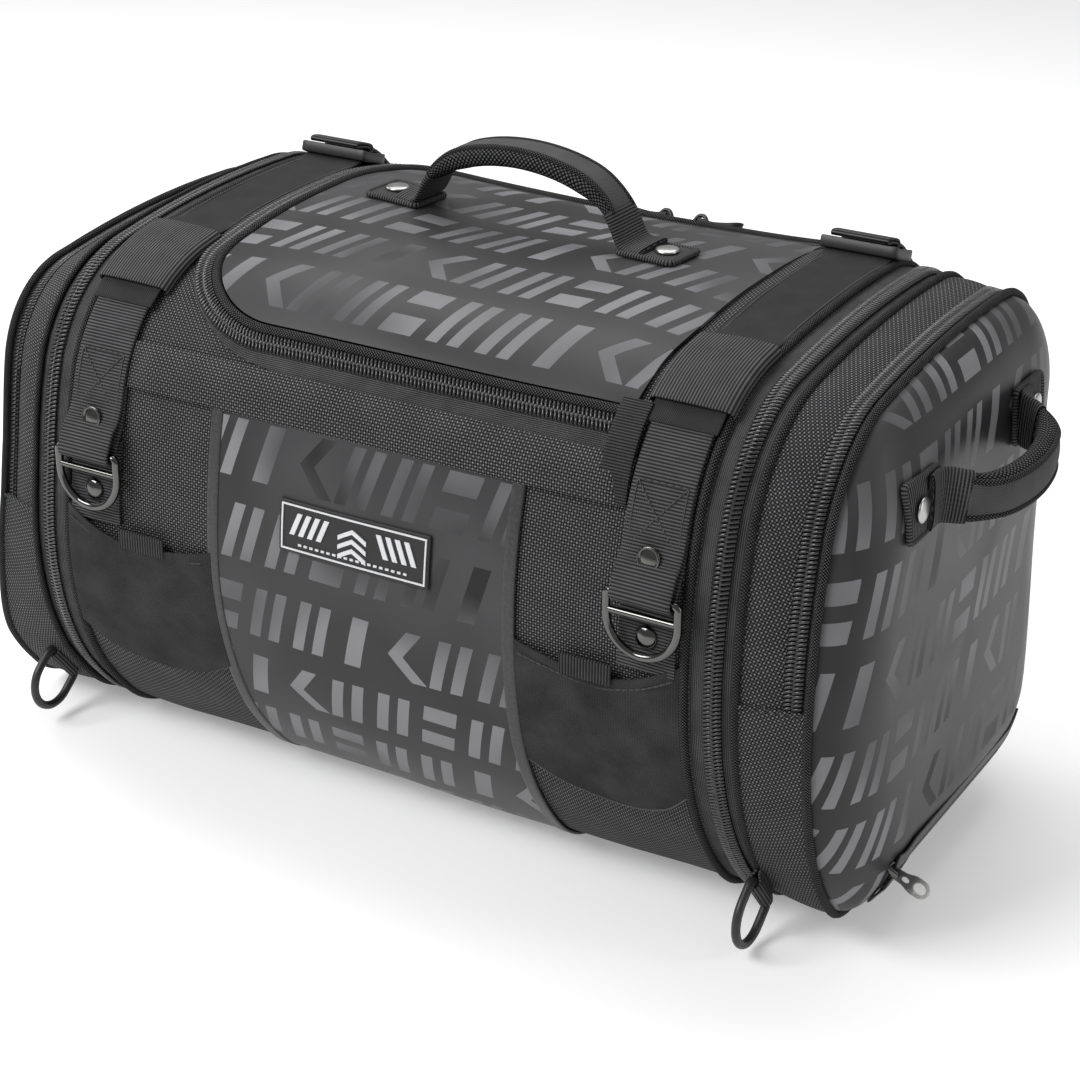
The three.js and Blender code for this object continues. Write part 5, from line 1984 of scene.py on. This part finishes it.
def domePlace(points, name):  # (inset from the edge, run, rise) to a place on the end panel
    insets, xs = domeProfile(name)
    x = np.interp(points[:, 0], insets, xs)
    slope = np.interp(points[:, 0], insets, np.gradient(np.abs(xs), insets))
    length = np.sqrt(1 + slope**2)
    y, z, angle = sectionAt(points[:, 1])
    inward = domeInset(points[:, 0], x, angle) - points[:, 2] * slope / length
    outwards = np.sign(x) * points[:, 2] / length
    place = np.column_stack((x + outwards, y + inward * np.cos(angle), z - inward * np.sin(angle)))
    place[:, 0] += leanAt(x, place[:, 2])
    return roundHeel(place)


def endDisc(name, insets, xs, poleRise, around):  # rings that follow the rim, closed by a soft middle
    look = endLooks
    sign = math.copysign(1, xs[0])
    count, inner = len(insets) - 1, look["inner"]
    disc = flatSheet(name, 0, 1, 0, 1, around, count + inner)
    share = placesOf(disc)
    row = np.round(share[:, 1] * (count + inner)).astype(int)
    ring = np.minimum(row, count)
    y, z, angle = sectionAt((1 - share[:, 0] if sign > 0 else share[:, 0]) * sectionLength)
    inset = domeInset(insets[ring], np.full(len(row), sign), angle)
    ringY, ringZ = y + inset * np.cos(angle), z - inset * np.sin(angle)
    t = np.clip((row - count) / inner, 0, 1)
    middleY, middleZ = np.mean(ringY[row == count]), np.mean(ringZ[row == count])
    waves = np.sin(24 * ringY + 17 * ringZ) + np.sin(-31 * ringY + 43 * ringZ + 1.3)
    x = xs[ring] + sign * poleRise * (1 - (1 - t) ** 2)
    x += look["wave"] * waves * np.clip((row - 3) / 8, 0, 1) * (1 - t)
    places = np.column_stack((x, ringY + (middleY - ringY) * t, ringZ + (middleZ - ringZ) * t))
    places[:, 0] += leanAt(x, places[:, 2])
    places = roundHeel(places)
    moveTo(disc, places)
    lengths = np.concatenate(([0], np.cumsum(np.hypot(np.diff(insets), np.diff(xs)))))
    spare = ((lengths[-1] - lengths) - (insets[-1] - insets))[ring]  # cloth the curve takes up, for the map
    layUv(disc, np.column_stack((places[:, 1] - spare * np.cos(angle), places[:, 2] + spare * np.sin(angle))))
    return weld(disc)


def makePleats(name, sign):  # folded pleats, laid once; on the bag they open as the end is drawn out
    low, high = sorted(sign * x for x in endLooks["pleats"])
    middle, depth, waves = endLooks["pleatRise"]
    pleats = flatStrip("pleats_" + name, low, high, *wholeRound, endLooks["pleatWall"])

    def fold(p):
        share = (p[:, 0] - low) / (high - low)
        return onBag(raised(p, middle + depth * np.cos(share * waves * math.pi)))

    reshape(pleats, fold)
    dress(finish(pleats, 40), None, "nylon", lining)
    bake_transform(pleats)
    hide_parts("bellows_" + name)


def makeDome(name, sign, end):
    look = endLooks
    panel = endDisc("endVinyl_" + name, *domeProfile(name), look["pole"], look["around"])
    thicken(panel, look["domeWall"], lining=1)
    dress(finish(panel), None, "vinyl", [printedVinyl, lining])
    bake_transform(panel)
    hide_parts("end_flap_" + name, "end_panel_lower_" + name)
    insets, xs, rings, rise, around = look["divider"]
    divider = endDisc(
        "endDivider_" + name, np.linspace(*insets, rings), sign * np.linspace(*xs, rings), rise, around
    )
    thicken(divider, look["tapeWall"])
    dress(finish(divider), end, "nylon", lining)


def makeEnd(name, sign):
    look = endLooks
    end, flap = name + "_end", name + "_flap"

    def piping(label, x, radius, rise, span, body, closed=False):
        cord = cordAround(label + "_" + name, sign * x, radius, rise, span, closed)
        dress(cord, body, "webbing", wovenPiping)

    def strip(label, edges, span, base, wall, body, slot, cloth, crown=0.0, *nodes):
        piece = stripAround(label + "_" + name, [sign * x for x in edges], span, base, wall, crown)
        dress(piece, body, slot, cloth, *nodes)

    wall = look["tapeWall"]
    piping("bodyPiping", look["bodyPiping"], look["cord"], 0.0004, wholeRound, "bag", True)
    strip("expansionTapeInner", look["innerTape"], wholeRound, -0.0022, wall, "bag", "coil", zipperTape)
    coilsAround("expansion", name, sign, look["expansionCoil"], wholeRound, -0.0008, ("bag", end))
    strip("expansionTapeOuter", look["outerTape"], wholeRound, -0.0022, wall, end, "coil", zipperTape)
    piping("gussetPiping", look["gussetPiping"], look["thinCord"], 0.0008, wholeRound, end, True)
    makePleats(name, sign)

    over = (overTop[0] - look["gussetOverlap"], overTop[1] + look["gussetOverlap"])
    shell = "end_shell_" + name
    strip("gusset", look["gusset"], over, -0.0016, 0.0016, end, "nylon", ballisticGusset, 0.0010, shell)
    lower = look["lowerGusset"]
    strip("lowerGusset", lower, underneath, -0.0010, 0.0020, end, "nylon", ballisticGusset, 0.0008)
    rows = []
    radius, length, inFirst, inLast, rise = look["seam"]
    first, last = sign * (lower[0] + inFirst), sign * (lower[1] - inLast)
    for run in underneath:
        track = evenLine([(first, run), (last, run)], 0.004)
        rows.append(layOnTrack(roundCord("rolled", radius, length, 8), track, rise))
    dress(finish(joinUp("gussetSeam_" + name, rows), 60), end, "nylon", ballisticGusset)

    strip("endTape", look["endTape"], overTop, -0.0018, wall, end, "coil", zipperTape)
    strip("flapTape", look["flapTape"], overTop, -0.0018, wall, flap, "coil", zipperTape)
    coilsAround("end", name, sign, look["endCoil"], overTop, -0.0006, (end, flap))
    piping("rimPipingUpper", look["rimPiping"], look["cord"], 0.0006, overTop, flap)
    piping("rimPipingLower", look["rimPiping"], look["cord"], 0.0006, underneath, end)
    makeDome(name, sign, end)


for name, sign in sides.items():
    makeEnd(name, sign)
print("ends made")


# end handles, lower rings, end pockets
endHandlePlan = {  # place across the bag, rise, droop
    "right": (0.2719, 0.0300, 0.004),
    "left": (-0.2634, 0.0150, 0.020),
}


def makeEndHandle(name, sign):
    x, rise, droop = endHandlePlan[name]
    low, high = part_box("end_handle_" + name)
    makeHandle(
        "endHandle_" + name, name + "_flap", "end_handle_" + name,
        ("end_handle_rivet_front_" + name, "end_handle_rivet_back_" + name),
        (x, (low.y + high.y) / 2, (low.z + high.z) / 2), (sign, 0, 0), (0, 1, 0), (0, 0, 1),
        (high.y - low.y) / 2 - handlePlan["padLength"], rise, bpy.data.objects["endVinyl_" + name], droop,
    )


for name, sign in sides.items():
    makeEndHandle(name, sign)
print("end handles made")

lowerPlan = {
    "half": 0.0156, "wire": 0.0024, "leg": 0.0130, "corner": (0.003, 0.0008, 0.0006, 0.0028), "bow": 0.15,
    "tab": 0.0250, "wall": 0.0013, "gap": 0.0003, "bend": 0.5,
    "tail": ((0.0008, -0.0150), (0.0010, -0.0100), (0.0013, -0.0050)),  # aside and down, each side of the ring
}


def makeLowerRing(name):
    plan = lowerPlan
    pin, axis = jointOf(name + "_lower_ring_bar")
    axis = unit(axis)
    hang, aside = np.cross(axis, (1, 0, 0)), np.array((1.0, 0, 0))
    if hang[2] > 0:
        hang = -hang
    ring = ringLine(plan["half"], plan["leg"], plan["corner"], plan["bow"])
    line = evenLine([pin + axis * a + hang * b for a, b in ring], 0.0012)
    hoop = wire("lowerRing_" + name, plan["wire"], line, aside, True)
    closeUp(hoop, 0.0003)
    smooth(hoop, 60)
    dress(hoop, name + "_lower_ring", "black_wire", paintedWire, "lower_ring_" + name)

    turn = plan["wire"] + plan["gap"] + plan["wall"] / 2
    bends = np.linspace(-plan["bend"], math.pi + plan["bend"], 9)
    path = [*plan["tail"], *((turn * math.cos(a), turn * math.sin(a)) for a in bends)]
    path += [(-a, b) for a, b in reversed(plan["tail"])]
    line = smoothLine([pin + aside * a + hang * b for a, b in path], 0.0010)
    tab = ribbon("lowerTab_" + name, plan["tab"], line, plan["wall"], 0.0010)
    reshape(tab, lambda p: onPath(p, line, axis))
    dress(finish(tab), name + "_end", "webbing", grosgrain, "lower_tab_" + name)


for name in sides:
    makeLowerRing(name)
print("lower rings made")

pocketZip = {
    "span": (226, 302), "inset": 0.0300, "tape": 0.0058, "tapeWall": 0.0007, "tapeBase": 0.0002,
    "teeth": (0.8, 0.0010),  # their size beside the lid's, and rise
    "welt": (0.0050, 0.0105), "weltEnd": 0.006, "weltWall": 0.0013, "weltBase": 0.0001, "weltEdge": 0.0005,
    "lip": (0.0008, 0.0016),
    "facing": (0.80, 0.60),  # shares of outwards and of the cloth's own facing
}
pocketTab = {
    "length": 0.0218, "width": 0.0096, "wall": 0.0013, "waist": 0.66, "curl": 0.0, "lift": 0.15,
    "holes": ((0.0006, 0.0022, 0.0024), (0.0074, 0.0046, 0.0026), (0.0163, 0.0076, 0.0054)),
}


def middleOf(node):
    low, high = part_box(node)
    return np.array([(a + b) / 2 for a, b in zip(low, high)])


def makeEndPocket(name, sign):
    plan, tab = pocketZip, pocketTab
    end = name + "_end"
    start, stop = (angleRun(degrees) for degrees in plan["span"])
    length = stop - start

    def lay(p):
        return domePlace(np.column_stack((plan["inset"] - p[:, 0] * sign, start + p[:, 1], p[:, 2])), name)

    half = plan["tape"]
    tape = flatStrip("pocketZipTape_" + name, -half, half, 0, length, plan["tapeWall"], 0.003, plan["tapeBase"])
    dress(finish(reshape(tape, lay)), end, "coil", zipperTape)
    size, rise = plan["teeth"]
    chains, welts = [], []
    for side in (-1, 1):
        chain = halfChain("chain", length, side, side > 0)
        chains.append(reshape(chain, lambda p: lay(p * np.array((size, 1, size)) + np.array((0, 0, rise)))))
    dress(finish(joinUp("pocketZipCoil_" + name, chains), 60, tightMerge), end, "coil", coilNylon)
    near, (lip, lipWidth) = plan["welt"][0], plan["lip"]
    for side in (-1, 1):
        edges = sorted(side * x for x in plan["welt"])
        span = (-plan["weltEnd"], length + plan["weltEnd"])
        welt = flatStrip("welt", *edges, *span, plan["weltWall"], 0.0026, plan["weltBase"], plan["weltEdge"])
        reshape(welt, lambda p: lay(raised(p, lip * np.exp(-(((np.abs(p[:, 0]) - near) / lipWidth) ** 2)))))
        welts.append(welt)
    dress(finish(joinUp("pocketWelt_" + name, welts)), end, "vinyl", plainVinyl)

    pin, axis = jointOf(name + "_pocket_pin")
    run, _ = bagPlace(pin[1], pin[2])
    angle = float(sectionAt(run)[2])
    along = np.array((0, math.sin(angle), math.cos(angle)))
    along = unit(along - axis * np.dot(along, axis))
    outwards, cloth = plan["facing"]
    facing = np.array((sign * outwards, 0, 0)) + cloth * np.array(bagFacing(run))
    facing = unit(facing - along * np.dot(facing, along))
    base, node = pin - facing * sliderPlan["pin"], "pocket_slider_" + name
    makeSlider("pocketSlider_" + name, base, along, facing, end, "satin_steel", gunmetal, node)

    heading = middleOf("pocket_puller_" + name) - pin
    heading = unit(heading - axis * np.dot(heading, axis))
    up = np.cross(heading, axis)
    c, s = math.cos(tab["lift"]), math.sin(tab["lift"]) * sign
    place = (pin, heading * c + up * s, (up * c - heading * s) * sign)
    node = "pocket_puller_" + name
    makePuller("pocketPuller_" + name, tab, *place, name + "_pocket_puller", "satin_steel", satinSteel, node)


for name, sign in sides.items():
    makeEndPocket(name, sign)
board = frame["nodes"]["base_board"].data.materials
board.clear()
board.append(stiffBoard)
for pattern in (tooth, oneStitch):
    bpy.data.objects.remove(pattern)
print("end pockets made")
